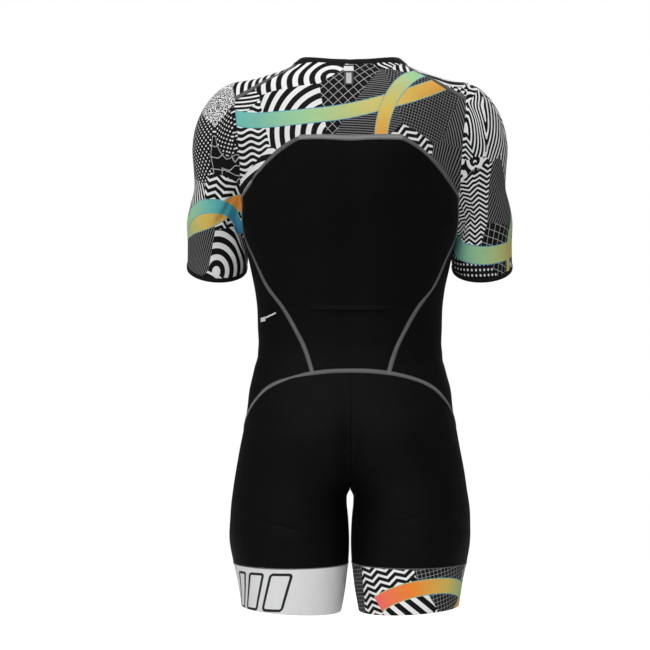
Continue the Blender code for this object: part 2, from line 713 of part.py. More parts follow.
def cut_or_join(piece, other, operation):
    """A Boolean of one piece with a hidden other."""
    change = piece.modifiers.new(operation.lower(), "BOOLEAN")
    change.operation = operation
    change.object = other
    other.hide_render = True
    other.display_type = "WIRE"


def slider_place(s):
    """Where the slider sits: on the zip chain, turned to the slope of the chest."""
    line = zip_grid(s)[:, 0]
    height = line[::-1, 2]
    half = SLIDER_BODY[2] / 2
    above, depth, below = np.interp(SLIDER_HEIGHT + np.array((half, 0, -half)), height, line[::-1, 1])
    lean = np.arctan2(above - below, 2 * half)
    return Matrix.Translation((0, depth, SLIDER_HEIGHT)) @ Matrix.Rotation(-lean, 4, "X")


def build_slider(place):
    """The zip slider: a body with an arch over it, which the pull tab's eye goes round."""
    width, out, length = SLIDER_BODY
    seat, top = LAID_ON, LAID_ON + out
    body = add_box("zip_slider", (-width / 2, seat, -length / 2), (width / 2, top, length / 2),
                   place, parts)
    body.data.materials.append(new_material("metal"))
    rounding = body.modifiers.new("rounding", "BEVEL")
    rounding.width = SLIDER_ROUNDING
    rounding.segments = 2
    arch_half, foot = BRIDGE_LENGTH / 2, BRIDGE_POST
    arch = add_box("slider_arch", (-BRIDGE_WIDTH / 2, top - BRIDGE_SUNK, -arch_half),
                   (BRIDGE_WIDTH / 2, top + BRIDGE_RISE, arch_half), place, cutters)
    gap = add_box("slider_arch_opening", (-BRIDGE_WIDTH, top, -arch_half + foot),
                  (BRIDGE_WIDTH, top + BRIDGE_RISE - BRIDGE_BAR, arch_half - foot), place, cutters)
    cut_or_join(body, arch, "UNION")
    cut_or_join(body, gap, "DIFFERENCE")


def build_pull(place):
    """The pull tab: a plate whose eye is closed by a bar under the slider's arch.

    Its origin is on the bar's axis, where it hinges.
    """
    axis_out = LAID_ON + SLIDER_BODY[1] + (BRIDGE_RISE - BRIDGE_BAR) / 2
    axis_up = -BRIDGE_LENGTH / 2 + BRIDGE_POST + PULL_AXIS_UP
    hinge = place @ Matrix.Translation((0, -axis_out, axis_up))
    half, wall = PULL_WIDTH / 2, PULL_WALL / 2
    tab = add_box("zip_pull", (-half, -wall, -PULL_LENGTH), (half, wall, wall), hinge, parts)
    tab.data.materials.append(new_material("metal"))
    eye = add_box("pull_eye", (-PULL_EYE_WIDTH / 2, -PULL_WALL, -wall - PULL_EYE_LENGTH),
                  (PULL_EYE_WIDTH / 2, PULL_WALL, -wall), hinge, cutters)
    cut_or_join(tab, eye, "DIFFERENCE")


def build_suit():
    """Every cut and sewn piece of the suit, and its zip."""
    s = seams()
    panel = panel_grid(s)
    add_cloth("back_yoke", trimmed(yoke_grid(s)), "print")
    add_cloth("back_panel", trimmed(panel), "black")
    add_cloth("back_pocket", pocket_grid(panel), "black")
    add_pair("side", trimmed(side_grid(s)), "black")
    add_pair("front", trimmed(front_grid(s)), "print")
    sleeve, cuff = sleeve_grids(s)
    add_pair("sleeve", trimmed(sleeve), "print")
    add_pair("cuff", trimmed(cuff, ring=True), "binding", wall=BINDING, ring=True, proud=0.0005)
    add_cloth("neck_binding", trimmed(neck_grid(s)), "binding", wall=BINDING)
    leg, band = leg_grids(s)
    add_pair("leg", trimmed(leg), "black")
    add_pair("leg_band", trimmed(band, ring=True), ("white", "print"), ring=True)
    add_cloth("neck_label", label_grid(), "label")
    add_cloth("zip_chain", zip_grid(s), "zip", wall=ZIP_WALL)
    place = slider_place(s)
    build_slider(place)
    build_pull(place)


for old in list(bpy.data.objects):
    bpy.data.objects.remove(old, do_unlink=True)
parts = bpy.data.collections.new(GARMENT)
cutters = bpy.data.collections.new("cutters")
bpy.context.scene.collection.children.link(parts)
bpy.context.scene.collection.children.link(cutters)
build_suit()
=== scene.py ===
"""The looks of a short-sleeved triathlon suit, in the hollow form that it has when it is worn.

Frame: metres, +Z up. The suit's back faces +Y and the wearer's left is +X. The cloth lies on
a plain figure: a trunk of oval sections, two arms that hang slightly forward, and two legs.
Seams are short tables of points that are laid on the figure, and each piece is a fine grid
stretched between its seams, with a valley at every seam and creases at listed places.
"""

import enum
import logging
from collections.abc import Callable
from dataclasses import dataclass, field, replace

import bpy
import numpy as np
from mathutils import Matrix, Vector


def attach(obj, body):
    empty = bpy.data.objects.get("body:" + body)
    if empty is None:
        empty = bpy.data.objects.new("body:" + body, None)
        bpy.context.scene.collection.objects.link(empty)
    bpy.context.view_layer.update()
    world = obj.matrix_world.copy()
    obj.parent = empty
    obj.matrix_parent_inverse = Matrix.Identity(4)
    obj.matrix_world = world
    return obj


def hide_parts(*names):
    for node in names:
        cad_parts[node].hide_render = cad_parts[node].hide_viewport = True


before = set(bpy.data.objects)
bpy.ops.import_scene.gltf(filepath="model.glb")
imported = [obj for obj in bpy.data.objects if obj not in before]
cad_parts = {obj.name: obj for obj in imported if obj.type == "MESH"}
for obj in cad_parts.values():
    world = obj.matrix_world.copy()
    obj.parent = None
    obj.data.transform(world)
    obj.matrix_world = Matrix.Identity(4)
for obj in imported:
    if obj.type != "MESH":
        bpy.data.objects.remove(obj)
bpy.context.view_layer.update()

log = logging.getLogger("triathlon_suit")

Array = np.ndarray
Columns = dict[str, Array]
Node = bpy.types.Node
Piece = bpy.types.Object
Socket = bpy.types.NodeSocket
Pair = tuple[float, float]
Triple = tuple[float, float, float]

MIRROR = (-1, 1, 1)     # brings a point from the wearer's left to their right
WELD = 0.00001          # points nearer than this are joined where a ring closes
ON_PLANE = 1e-6         # points nearer than this to the plane of symmetry lie on it
TINY = 1e-9             # the least length that is divided by

# Lines and grids ------------------------------------------------------------------------


def table(columns: str, rows: tuple) -> Columns:
    """The columns of a short table, by name."""
    return dict(zip(columns.split(), np.array(rows, float).T))


def unit(vectors: Array) -> Array:
    """Vectors brought to length 1."""
    return vectors / np.maximum(np.linalg.norm(vectors, axis=-1, keepdims=True), TINY)


def ramp(low: float, high: float, value: Array) -> Array:
    """0 below low, 1 above high, and a smooth step between."""
    t = np.clip((value - low) / (high - low), 0, 1)
    return t * t * (3 - 2 * t)


def soft_min(a: Array, b: Array, width: Array) -> Array:
    """The smaller of two distances, rounded over a width where they cross."""
    h = np.clip(0.5 + 0.5 * (b - a) / width, 0, 1)
    return b + (a - b) * h - width * h * (1 - h)


def hermite(t: Array, step: Array, ends: tuple[Array, Array], slopes: tuple[Array, Array]) -> Array:
    """A cubic that has the given ends and slopes over a step, at shares t of it."""
    near = (1 + 2 * t) * (1 - t) ** 2 * ends[0] + t * (1 - t) ** 2 * step * slopes[0]
    return near + t * t * (3 - 2 * t) * ends[1] - t * t * (1 - t) * step * slopes[1]


def eased(rows: Columns, column: str, at: Array, along: str = "height") -> Array:
    """Reads a column of a table at any place, on a smooth line through its rows.

    Args:
        rows: the table.
        column: the column to read.
        at: the places to read it at.
        along: the column that holds the rows' places.

    Returns:
        The values, in the shape of the places.
    """
    place, value = rows[along], rows[column]
    if place[0] > place[-1]:
        place, value = place[::-1], value[::-1]
    slope = np.gradient(value, place)
    at = np.clip(at, place[0], place[-1])
    k = np.clip(np.searchsorted(place, at) - 1, 0, len(place) - 2)
    step = place[k + 1] - place[k]
    return hermite((at - place[k]) / step, step, (value[k], value[k + 1]), (slope[k], slope[k + 1]))


def section(rows: Columns, height: Array) -> list[Array]:
    """All the columns of a table of sections at a height, apart from the height itself."""
    return [eased(rows, column, height) for column in rows if column != "height"]


def lengths(points: Array, axis: int = 0) -> Array:
    """How far along its run each point lies, on a line or along one axis of a grid."""
    steps = np.linalg.norm(np.diff(points, axis=axis), axis=-1)
    return np.insert(steps.cumsum(axis), 0, 0, axis)


def shares(points: Array) -> Array:
    """How far along a run each point lies, as a share of the whole."""
    return lengths(points) / lengths(points)[-1]


def turns(count: int) -> Array:
    """Even angles round a circle, from 0."""
    return np.arange(count) / count * 2 * np.pi


def drawn(rows: tuple, at: Array, closed: bool = False) -> Array:
    """Reads a smooth line through rows of points, given in millimetres.

    Args:
        rows: the points, with any number of coordinates.
        at: the places to read, counted in rows from 0.
        closed: whether the line runs on from its last row to its first.

    Returns:
        The points in metres.
    """
    rows = np.array(rows, float) / 1000
    if closed:
        rows = np.vstack([rows, rows[:1]])
    reach = lengths(rows)
    slope = np.gradient(rows, reach, axis=0)
    if closed:
        slope[0] = slope[-1] = (rows[1] - rows[-2]) / (reach[1] + reach[-1] - reach[-2])
    k = np.clip(at.astype(int), 0, len(rows) - 2)
    step = (reach[k + 1] - reach[k])[:, None]
    return hermite((at - k)[:, None], step, (rows[k], rows[k + 1]), (slope[k], slope[k + 1]))


def along_line(line: Array, places: Array) -> Array:
    """A run of points, or of directions beside it, read at distances along its first three columns."""
    reach = lengths(line[:, :3])
    return np.stack([np.interp(places, reach, column) for column in line.T], -1)


def follow(*stretches: Array) -> Array:
    """One run of points from several stretches that meet end to end."""
    return np.vstack([stretches[0]] + [part[1:] for part in stretches[1:]])


def mirrored(points: Array) -> Array:
    """The same points on the wearer's right, in the opposite order along the row."""
    return points[..., ::-1, :] * MIRROR


def grid_normals(grid: Array) -> Array:
    """Outward directions of a grid: columns' direction crossed with rows' direction."""
    return unit(np.cross(np.gradient(grid, axis=1), np.gradient(grid, axis=0)))


def smoothed(points: Array, rounds: int, closed: bool = False) -> Array:
    """A run of points, each moved rounds times half way to the middle of its neighbours.

    Args:
        points: the run.
        rounds: how often they are moved.
        closed: whether the last point neighbours the first.

    Returns:
        The moved points; the ends of an open run stay.
    """
    for _ in range(rounds):
        middle = (np.roll(points, 1, 0) + np.roll(points, -1, 0)) / 2
        inner = slice(None) if closed else slice(1, -1)
        points = points.copy()
        points[inner] = (points[inner] + middle[inner]) / 2
    return points


# The figure -----------------------------------------------------------------------------

TRUNK = table("height half_width back front", (
    (0.060, 0.178, 0.046, -0.046),
    (0.000, 0.178, 0.060, -0.054),
    (-0.040, 0.178, 0.083, -0.070),
    (-0.080, 0.178, 0.096, -0.086),
    (-0.120, 0.178, 0.104, -0.101),
    (-0.160, 0.178, 0.107, -0.112),
    (-0.200, 0.178, 0.106, -0.119),
    (-0.230, 0.178, 0.104, -0.121),
    (-0.250, 0.177, 0.101, -0.121),
    (-0.290, 0.1695, 0.094, -0.120),
    (-0.330, 0.1610, 0.086, -0.117),
    (-0.375, 0.1520, 0.077, -0.115),
    (-0.400, 0.1490, 0.072, -0.114),
    (-0.435, 0.1482, 0.068, -0.113),
    (-0.465, 0.1475, 0.068, -0.113),
    (-0.502, 0.1545, 0.075, -0.112),
    (-0.530, 0.1610, 0.086, -0.111),
    (-0.560, 0.1645, 0.097, -0.109),
    (-0.600, 0.1715, 0.109, -0.106),
    (-0.640, 0.1785, 0.113, -0.102),
    (-0.675, 0.1850, 0.108, -0.098),
    (-0.690, 0.1870, 0.105, -0.096),
    (-0.720, 0.1910, 0.101, -0.092),
    (-0.771, 0.1920, 0.095, -0.089),
))

# Height of the shoulder slope at a distance from the neck's axis.
SLOPE = table("distance height", (
    (0.000, 0.100), (0.050, 0.058), (0.066, 0.022), (0.076, 0.0035), (0.088, -0.0090),
    (0.100, -0.0175), (0.120, -0.0250), (0.150, -0.0316), (0.195, -0.043), (0.300, -0.062),
))

ARM = table("height outside inside middle half_depth", (
    (-0.140, 0.2540, 0.1210, 0.000, 0.0590),
    (-0.190, 0.2500, 0.1420, -0.007, 0.0575),
    (-0.210, 0.2500, 0.1530, -0.0115, 0.0570),
    (-0.230, 0.2552, 0.1640, -0.016, 0.0565),
    (-0.260, 0.2620, 0.1760, -0.024, 0.0560),
    (-0.290, 0.2625, 0.1692, -0.033, 0.0555),
    (-0.320, 0.2628, 0.1650, -0.042, 0.0550),
    (-0.350, 0.2636, 0.1700, -0.050, 0.0545),
    (-0.400, 0.2650, 0.1740, -0.065, 0.0535),
))

LEG = table("height outside inside middle half_depth", (
    (-0.560, 0.1645, 0.0000, 0.004, 0.1020),
    (-0.600, 0.1715, 0.0000, 0.004, 0.1020),
    (-0.640, 0.1785, 0.0000, 0.004, 0.1010),
    (-0.690, 0.1870, 0.0002, 0.004, 0.0980),
    (-0.698, 0.1882, 0.0046, 0.004, 0.0970),
    (-0.708, 0.1895, 0.0052, 0.004, 0.0960),
    (-0.735, 0.1915, 0.0030, 0.003, 0.0940),
    (-0.771, 0.1920, 0.0014, 0.002, 0.0915),
    (-0.806, 0.1865, 0.0022, 0.001, 0.0885),
    (-0.838, 0.1795, 0.0064, 0.000, 0.0860),
    (-0.877, 0.1735, 0.0128, 0.000, 0.0835),
    (-0.900, 0.1700, 0.0165, 0.000, 0.0820),
))

# Soft forms of the back: shoulder blades, spine, seat and the cleft of the seat.
FORMS = table("across height reach_across reach_up rise", (
    (0.085, -0.130, 0.050, 0.060, 0.004),
    (0.000, -0.300, 0.022, 0.150, -0.004),
    (0.082, -0.610, 0.058, 0.060, 0.010),
    (0.000, -0.640, 0.020, 0.070, -0.010),
))

# How points are brought to the figure's surface.
SETTLE_ROUNDS = 6
SETTLE_STEP = 0.0005
FLATTEST = 0.2                      # the least square of a slope that is divided by
CAST_REACH = (0.004, 0.300, 0.004)  # first, last and step of the places tried along a ray
HALVINGS = 14                       # and how often the step with the crossing is halved
CUFF_ROUNDS = 12                    # how often a cuff point is brought closer to its plane


@dataclass(frozen=True)
class Figure:
    """The plain figure that the cloth lies on, as a distance outside trunk and arms."""

    chest: float = -0.130           # shoulder points are seen from this height
    armpit: float = -0.286
    crotch: float = -0.690
    hip_line: float = -0.560        # the trunk divides into the legs below this, at the back
    front_line: float = -0.636      # and below this at the front
    seat_line: float = -0.775       # above this height the seat's fullness begins
    trunk_power: float = 2.3        # 2 would make the trunk's sections ellipses
    slope_oval: float = 1.30        # the shoulder slope falls faster to back and chest
    slope_round: float = 0.030      # how softly it turns into them
    arm_top: float = -0.140         # above this height the arm is rounded off
    arm_dome: float = 0.092         # height of that rounding
    arm_join: float = 0.028         # how softly the arm joins the trunk at the shoulder
    armpit_join: float = 0.003      # and at the armpit
    join_heights: Pair = (-0.29, -0.13)
    parting: float = 0.030          # trunk and arm part by this much below the armpit
    parting_rise: float = 0.030     # and begin to this far above it
    forms_back: Pair = (0.2, 0.8)
    hip_turns: Pair = (0.25, 0.85)
    seam_turn: float = 0.24
    cuff_height: float = -0.3370    # lower edge of the sleeve at the arm's axis
    cuff_tilt: float = 0.45         # the cuff drops this much for each metre to the back
    cuff_rise: float = 0.091        # and rises this much for each metre away from the body
    half_gap: float = 0.0002        # half of the gap between two legs that touch

    def back_forms(self, across: Array, height: Array) -> Array:
        """How far the soft forms push the back out: a sum of round bumps."""
        aside = (np.abs(across)[..., None] - FORMS["across"]) / FORMS["reach_across"]
        above = (np.asarray(height)[..., None] - FORMS["height"]) / FORMS["reach_up"]
        return (FORMS["rise"] * np.exp(-aside ** 2 - above ** 2)).sum(-1)

    def trunk_section(self, height: Array) -> tuple[Array, Array, Array]:
        """Half width, middle and half depth of the trunk at a height."""
        half_width, back, front = section(TRUNK, height)
        return half_width, (back + front) / 2, (back - front) / 2

    def trunk(self, point: Array) -> Array:
        """Roughly how far a point lies outside the trunk: a superellipse under a slope.

        Args:
            point: points in the suit's frame.

        Returns:
            Distances, below 0 inside the trunk.
        """
        x, y, z = np.abs(point[..., 0]), point[..., 1], point[..., 2]
        half_width, middle, half_depth = self.trunk_section(z)
        inward = y - middle - self.back_forms(x, z) * ramp(*self.forms_back, (y - middle) / half_depth)
        p = self.trunk_power
        size = ((x / half_width) ** p + (np.abs(inward) / half_depth) ** p) ** (1 / p)
        slope = z - eased(SLOPE, "height", np.hypot(x, self.slope_oval * y), along="distance")
        return -soft_min((1 - size) * half_depth, -slope, self.slope_round)

    def arm_section(self, height: Array) -> tuple[Array, Array, Array, Array]:
        """Axis (x, y), half width and half depth of the arm at a height."""
        outside, inside, middle, half_depth = section(ARM, height)
        return (outside + inside) / 2, middle, (outside - inside) / 2, half_depth

    def arm(self, point: Array) -> Array:
        """Roughly how far a point lies outside the arm: an ellipse under a dome.

        Args:
            point: points in the suit's frame.

        Returns:
            Distances, below 0 inside the arm.
        """
        x, y, z = np.abs(point[..., 0]), point[..., 1], point[..., 2]
        axis_x, axis_y, half_width, half_depth = self.arm_section(z)
        dome = np.maximum(z - self.arm_top, 0) / self.arm_dome
        size = np.sqrt(((x - axis_x) / half_width) ** 2 + ((y - axis_y) / half_depth) ** 2 + dome ** 2)
        return (size - 1) * half_width

    def joined(self, point: Array, apart_trunk: float, apart_arm: float) -> Array:
        """Distance outside trunk and arm together; below the armpit one is moved out of the way.

        Args:
            point: points in the suit's frame.
            apart_trunk, apart_arm: 1 for the one that is moved, else 0.

        Returns:
            Distances, below 0 inside.
        """
        height = point[..., 2]
        clear = self.parting * (1 - ramp(self.armpit, self.armpit + self.parting_rise, height))
        softness = self.armpit_join + self.arm_join * ramp(*self.join_heights, height)
        trunk = self.trunk(point) + apart_trunk * clear
        return soft_min(trunk, self.arm(point) + apart_arm * clear, softness)

    def body(self, point: Array) -> Array:
        """The figure as the trunk's pieces see it, with no arm below the armpit."""
        return self.joined(point, 0, 1)

    def sleeve(self, point: Array) -> Array:
        """The figure as the sleeves see it, with no trunk below the armpit."""
        return self.joined(point, 1, 0)

    def slope(self, points: Array) -> Array:
        """The slope of the body's distance: its differences over a small step on each axis."""
        here = self.body(points)
        steps = [self.body(points + SETTLE_STEP * axis) - here for axis in np.eye(3)]
        return np.stack(steps, -1) / SETTLE_STEP

    def outward(self, points: Array) -> Array:
        """Outward directions of the figure at points on it."""
        return unit(self.slope(points))

    def settle(self, points: Array) -> Array:
        """Moves points straight to the figure's surface, against the slope of the distance.

        Args:
            points: points near the surface.

        Returns:
            The points on it.
        """
        for _ in range(SETTLE_ROUNDS):
            slope = self.slope(points)
            square = np.maximum((slope ** 2).sum(-1), FLATTEST)
            points = points - (self.body(points) / square)[..., None] * slope
        return points

    def cast(self, origin: Array, target: Array, arms: bool = False) -> Array:
        """Where the rays from origin through target first leave the figure.

        Args:
            origin: the rays' starts, inside the figure.
            target: points that the rays go through.
            arms: whether the rays meet the sleeves' figure or the body's.

        Returns:
            The points on the surface, found by steps along the ray and then by halving.
        """
        distance = self.sleeve if arms else self.body
        ray = unit(target - origin)
        reach = np.arange(*CAST_REACH)
        outside = np.stack([distance(origin + t * ray) > 0 for t in reach])
        first = np.clip(outside.argmax(0), 1, None)
        low, high = reach[first - 1], reach[first]
        for _ in range(HALVINGS):
            middle = (low + high) / 2
            out = distance(origin + middle[..., None] * ray) > 0
            low, high = np.where(out, low, middle), np.where(out, middle, high)
        return origin + high[..., None] * ray

    def trunk_hub(self, point: Array) -> Array:
        """A place inside the trunk from which a point on it is seen squarely."""
        middle = self.trunk_section(point[..., 2])[1]
        return np.stack([point[..., 0] / 2, middle, np.minimum(point[..., 2], self.chest)], -1)

    def arm_hub(self, point: Array) -> Array:
        """A place on the arm's axis from which a point on it is seen squarely."""
        height = np.minimum(point[..., 2], self.arm_top)
        return np.stack([*self.arm_section(height)[:2], height], -1)

    def drop(self, across: Array, height: Array, side: int) -> Array:
        """Where level lines to the back (side 1) or the chest (side -1) leave the figure."""
        hub = np.stack([across, 0 * across, height], -1)
        return self.cast(hub, hub + (0, side, 0))

    def cuff_plane(self, angle: Array, drop: float) -> Array:
        """Points round the arm on the tilted plane of the sleeve's end, raised by drop.

        Args:
            angle: angles round the arm from its inner side, by the back.
            drop: height above the sleeve's end.

        Returns:
            The points, found by following the plane's height a few times.
        """
        middle_x, middle_y = self.arm_section(np.array(self.cuff_height))[:2]
        height = np.full_like(angle, self.cuff_height + drop)
        for _ in range(CUFF_ROUNDS):
            axis_x, axis_y, half_width, half_depth = self.arm_section(height)
            x, y = axis_x - half_width * np.cos(angle), axis_y + half_depth * np.sin(angle)
            tilt = self.cuff_tilt * (y - middle_y) - self.cuff_rise * (x - middle_x)
            height = self.cuff_height + drop - tilt
        return np.stack([x, y, height], -1)

    def hip_weight(self, turn: Array, height: Array) -> Array:
        """How much of the hip is in the leg's surface: it drops steeply at the seams only.

        Args:
            turn: from 0 at centre back to 1 at centre front.
            height: height of each point.

        Returns:
            Shares, 1 where the surface is all hip.
        """
        top = self.hip_line + (self.front_line - self.hip_line) * ramp(*self.hip_turns, turn)
        s = np.clip((height - self.crotch) / (top - self.crotch), 0, 1)
        at_seam = np.sqrt(s * (2 - s))
        beside = ramp(self.seat_line, top, height)
        return at_seam + (beside - at_seam) * ramp(0, self.seam_turn, np.minimum(turn, 1 - turn))

    def leg_point(self, turn: Array, height: Array) -> Array:
        """The surface of hip and leg: the trunk's half section blended into the leg's full one.

        Args:
            turn: from 0 at centre back to 1 at centre front.
            height: height of each point.

        Returns:
            The points on the wearer's left.
        """
        half_width, middle, half_depth = self.trunk_section(height)
        sine, cosine = np.sin(np.pi * turn), np.cos(np.pi * turn)
        power = 2 / self.trunk_power
        hip_x = half_width * np.abs(sine) ** power
        hip_y = middle + half_depth * np.sign(cosine) * np.abs(cosine) ** power
        hip_y = hip_y + self.back_forms(hip_x, height) * ramp(*self.forms_back, cosine)
        outside, inside, leg_middle, leg_depth = section(LEG, height)
        inside = np.maximum(inside, self.half_gap)
        leg_x = (outside + inside) / 2 - (outside - inside) / 2 * np.cos(2 * np.pi * turn)
        leg_y = leg_middle + leg_depth * np.sin(2 * np.pi * turn)
        weight = self.hip_weight(turn, height)
        x, y = (weight * hip + (1 - weight) * leg for hip, leg in ((hip_x, leg_x), (hip_y, leg_y)))
        return np.stack([x, y, height + 0 * x], -1)

    def turn_of(self, point: Array) -> Array:
        """Where round the hip a point of the waist seam lies, as leg_point counts it.

        Args:
            point: points of the seam.

        Returns:
            Turns, from 0 at centre back to 1 at centre front.
        """
        half_width, middle, half_depth = self.trunk_section(point[..., 2])
        inward = point[..., 1] - middle
        power = self.trunk_power / 2
        sine = (np.abs(point[..., 0]) / half_width) ** power
        cosine = np.sign(inward) * (np.abs(inward) / half_depth) ** power
        return np.arctan2(sine, cosine) / np.pi


# The pattern ----------------------------------------------------------------------------

# Seams, all on the wearer's left. Each row is a point near the seam, in millimetres:
# across, towards the back, up. Rows that two tables share are where the seams meet.
SHOULDER_NECK = (87.5, 26, -16)
SHOULDER_ARM = (182, 47, -70.5)
YOKE_ARM = (173.5, 35, -226)
PANEL_ARM = (173, 24, -250)
FRONT_ARM = (172, -56, -243)
PANEL_CORNER = (81, 106, -136.5)
PANEL_WAIST = (59.5, 70.7, -502)
FRONT_WAIST = (92, -92, -628)

NECK_SEAM = ((0, 67, -18), (32, 63, -15.5), (63, 50.5, -12), SHOULDER_NECK, (90.5, -2, -14),
             (86, -40, -24), (64, -67, -43), (30, -82, -58), (0, -87, -62))
NECK_EDGE = ((0, 61.7, -10.3), (31, 58, -8.2), (57, 46.9, -3.9), (76, 21, -2.3), (79.5, -4, -5),
             (77, -38, -14.5), (54, -60, -33), (26, -72, -48), (0, -77, -53))
SHOULDER_SEAM = (SHOULDER_NECK, (101.5, 46, -26), (129.5, 56.5, -43), (157.5, 51, -57.5), SHOULDER_ARM)
ARMHOLE = (SHOULDER_ARM, (180, 50, -97), (175.5, 52, -146), YOKE_ARM, PANEL_ARM,
           (170, -14, -286), FRONT_ARM, (171, -66, -205), (168, -72, -150), (172, -60, -95),
           (182, -28, -54), (187, 6, -43), (184.5, 34, -55))
PANEL_TOP = ((-81, 106, -136.5), (-44, 110, -136), (0, 111, -137.5), (44, 110, -136), PANEL_CORNER)
PANEL_SIDE_HIGH = (PANEL_CORNER, (107, 98, -151.7), (149, 76, -187), YOKE_ARM)
PANEL_SIDE_LOW = (PANEL_ARM, (169.4, 9, -281.8), (154, 27.5, -318.5), (133.5, 37.7, -363.8),
                  (107.9, 49.7, -397.1), (88.5, 55, -430), (72, 60, -463), PANEL_WAIST)
FRONT_SIDE = (FRONT_ARM, (158, -66, -300), (136, -84, -370), (124, -88, -440), (116, -90, -520),
              (106, -92, -590), FRONT_WAIST)
WAIST = ((0, 73, -498), (32, 73, -499), PANEL_WAIST, (94, 64, -509.7), (127, 52.5, -523.5),
         (154, 34, -551), (170, -14, -596), (160, -56, -612), (128, -82, -622), FRONT_WAIST,
         (46, -102, -634), (0, -103, -636))

# How many steps of the solid each stretch of a seam is divided into.
STEPS = {"shoulder": 4, "panel_top": 8, "yoke_arm": 6, "panel_arm": 2, "underarm": 12,
         "front_arm": 8, "side": 9, "neck_front": 5, "sleeve": 7, "hip": 6, "leg": 3, "band": 2}
FINE_STEPS = 5                  # a seam is first read at this many places for each step


@dataclass(frozen=True)
class Pattern:
    """The seams of the suit, and each piece's grid stretched between them."""

    figure: Figure
    detail: int = 8                 # grid steps for each step of the solid
    yoke_crowd: float = 1.25        # steps are closer together under the arm, at the back
    arm_crowd: float = 1.5          # and at the front
    front_crowd: float = 1.2        # the front's rows are closer together at the neck
    sleeve_even: float = 0.2        # the sleeve's rows leave the armhole slowly
    sleeve_power: float = 1.5
    hip_crowd: float = 1.35
    band_top: float = -0.806
    hem: float = -0.8785
    hem_drop: float = 0.0044        # the hem is this much lower at the inseam, and higher outside
    cuff_width: float = 0.0068
    zip_width: float = 0.0086       # opening between the front panels
    zip_end: float = -0.500
    pocket_rows: int = 29           # the pocket covers this many of the panel's row steps
    sleeve_smoothing: int = 14
    sleeve_near: Pair = (0.25, 0.75)    # the easing fades out between these shares of its length
    sleeve_easing: float = 0.5
    lines: Columns = field(default_factory=dict)

    def __post_init__(self) -> None:
        """Lays the seams on the figure."""
        self.lines.update(self.seams())

    def steps(self, name: str) -> int:
        """How many grid steps a stretch has."""
        return STEPS[name] * self.detail

    def stretch(self, rows: tuple, ends: tuple[int, int], steps: int, crowd: float = 1.0,
                closed: bool = False) -> Array:
        """Points on the figure along a stretch of a seam, both ends included.

        Args:
            rows: the seam's table.
            ends: the rows that the stretch runs between.
            steps: how many steps it is divided into.
            crowd: 1 for even steps, more to bring them closer together at the far end.
            closed: whether the seam is a ring.

        Returns:
            steps + 1 points.
        """
        fine = self.figure.settle(drawn(rows, np.linspace(*ends, FINE_STEPS * steps + 1), closed))
        reach = lengths(fine)[-1]
        return along_line(fine, reach * (1 - (1 - np.linspace(0, 1, steps + 1)) ** crowd))

    def seams(self) -> Columns:
        """Every seam's points on the wearer's left, by name."""
        n, hole = self.steps, ARMHOLE
        half_top = n("panel_top") // 2
        return {
            "shoulder": self.stretch(SHOULDER_SEAM, (0, 4), n("shoulder")),
            "yoke_arm": self.stretch(hole, (3, 0), n("yoke_arm"), self.yoke_crowd, True)[::-1],
            "panel_arm": self.stretch(hole, (3, 4), n("panel_arm"), closed=True),
            "underarm": self.stretch(hole, (4, 6), n("underarm"), closed=True),
            "front_arm": self.stretch(hole, (6, 13), n("front_arm"), self.arm_crowd, True),
            "panel_top": self.stretch(PANEL_TOP, (0, 4), n("panel_top")),
            "panel_high": self.stretch(PANEL_SIDE_HIGH, (0, 3), n("shoulder")),
            "panel_low": self.stretch(PANEL_SIDE_LOW, (0, 7), n("side")),
            "front_side": self.stretch(FRONT_SIDE, (0, 6), n("side")),
            "neck_back": self.stretch(NECK_SEAM, (0, 3), half_top),
            "neck_front": self.stretch(NECK_SEAM, (3, 8), n("neck_front")),
            "waist_back": self.stretch(WAIST, (0, 2), half_top),
            "waist_side": self.stretch(WAIST, (2, 9), n("underarm")),
            "waist_front": self.stretch(WAIST, (9, 11), n("shoulder") + n("neck_front")),
        }

    def between(self, top: Array, bottom: Array, left: Array, right: Array) -> Array:
        """A grid stretched between four seams and laid on the figure.

        Each inner point is blended from the four edges, as on a Coons patch, and then moved
        out along a ray from inside the figure.

        Args:
            top, bottom: the seams that rows run between, from left to right.
            left, right: the seams that columns run between, from top to bottom.

        Returns:
            Rows × columns × 3 points.
        """
        u = (shares(top) + shares(bottom))[None, :, None] / 2
        v = (shares(left) + shares(right))[:, None, None] / 2
        corners = (1 - u) * ((1 - v) * top[0] + v * bottom[0])
        corners = corners + u * ((1 - v) * top[-1] + v * bottom[-1])
        grid = (1 - v) * top + v * bottom + (1 - u) * left[:, None] + u * right[:, None] - corners
        inner = grid[1:-1, 1:-1]
        grid[1:-1, 1:-1] = self.figure.cast(self.figure.trunk_hub(inner), inner)
        grid[0], grid[-1], grid[:, 0], grid[:, -1] = top, bottom, left, right
        return grid

    def yoke(self) -> Array:
        """The printed yoke, between the neck, the armholes and the back panel."""
        s = self.lines
        neck = follow(mirrored(s["neck_back"]), s["neck_back"])
        top = follow(mirrored(s["shoulder"]), neck, s["shoulder"])
        bottom = follow(mirrored(s["panel_high"]), s["panel_top"], s["panel_high"])
        return self.between(top, bottom, s["yoke_arm"] * MIRROR, s["yoke_arm"])

    def panel_side(self) -> Array:
        """The back panel's left edge, from its upper corner to the waist seam."""
        return follow(self.lines["panel_high"], self.lines["panel_arm"], self.lines["panel_low"])

    def panel(self) -> Array:
        """The black back panel, from the shoulder blades to the waist seam."""
        side, waist = self.panel_side(), self.lines["waist_back"]
        bottom = follow(mirrored(waist), waist)
        return self.between(self.lines["panel_top"], bottom, side * MIRROR, side)

    def side(self) -> Array:
        """The side panel, from the armpit to the waist seam."""
        s = self.lines
        return self.between(s["underarm"], s["waist_side"], s["panel_low"], s["front_side"])

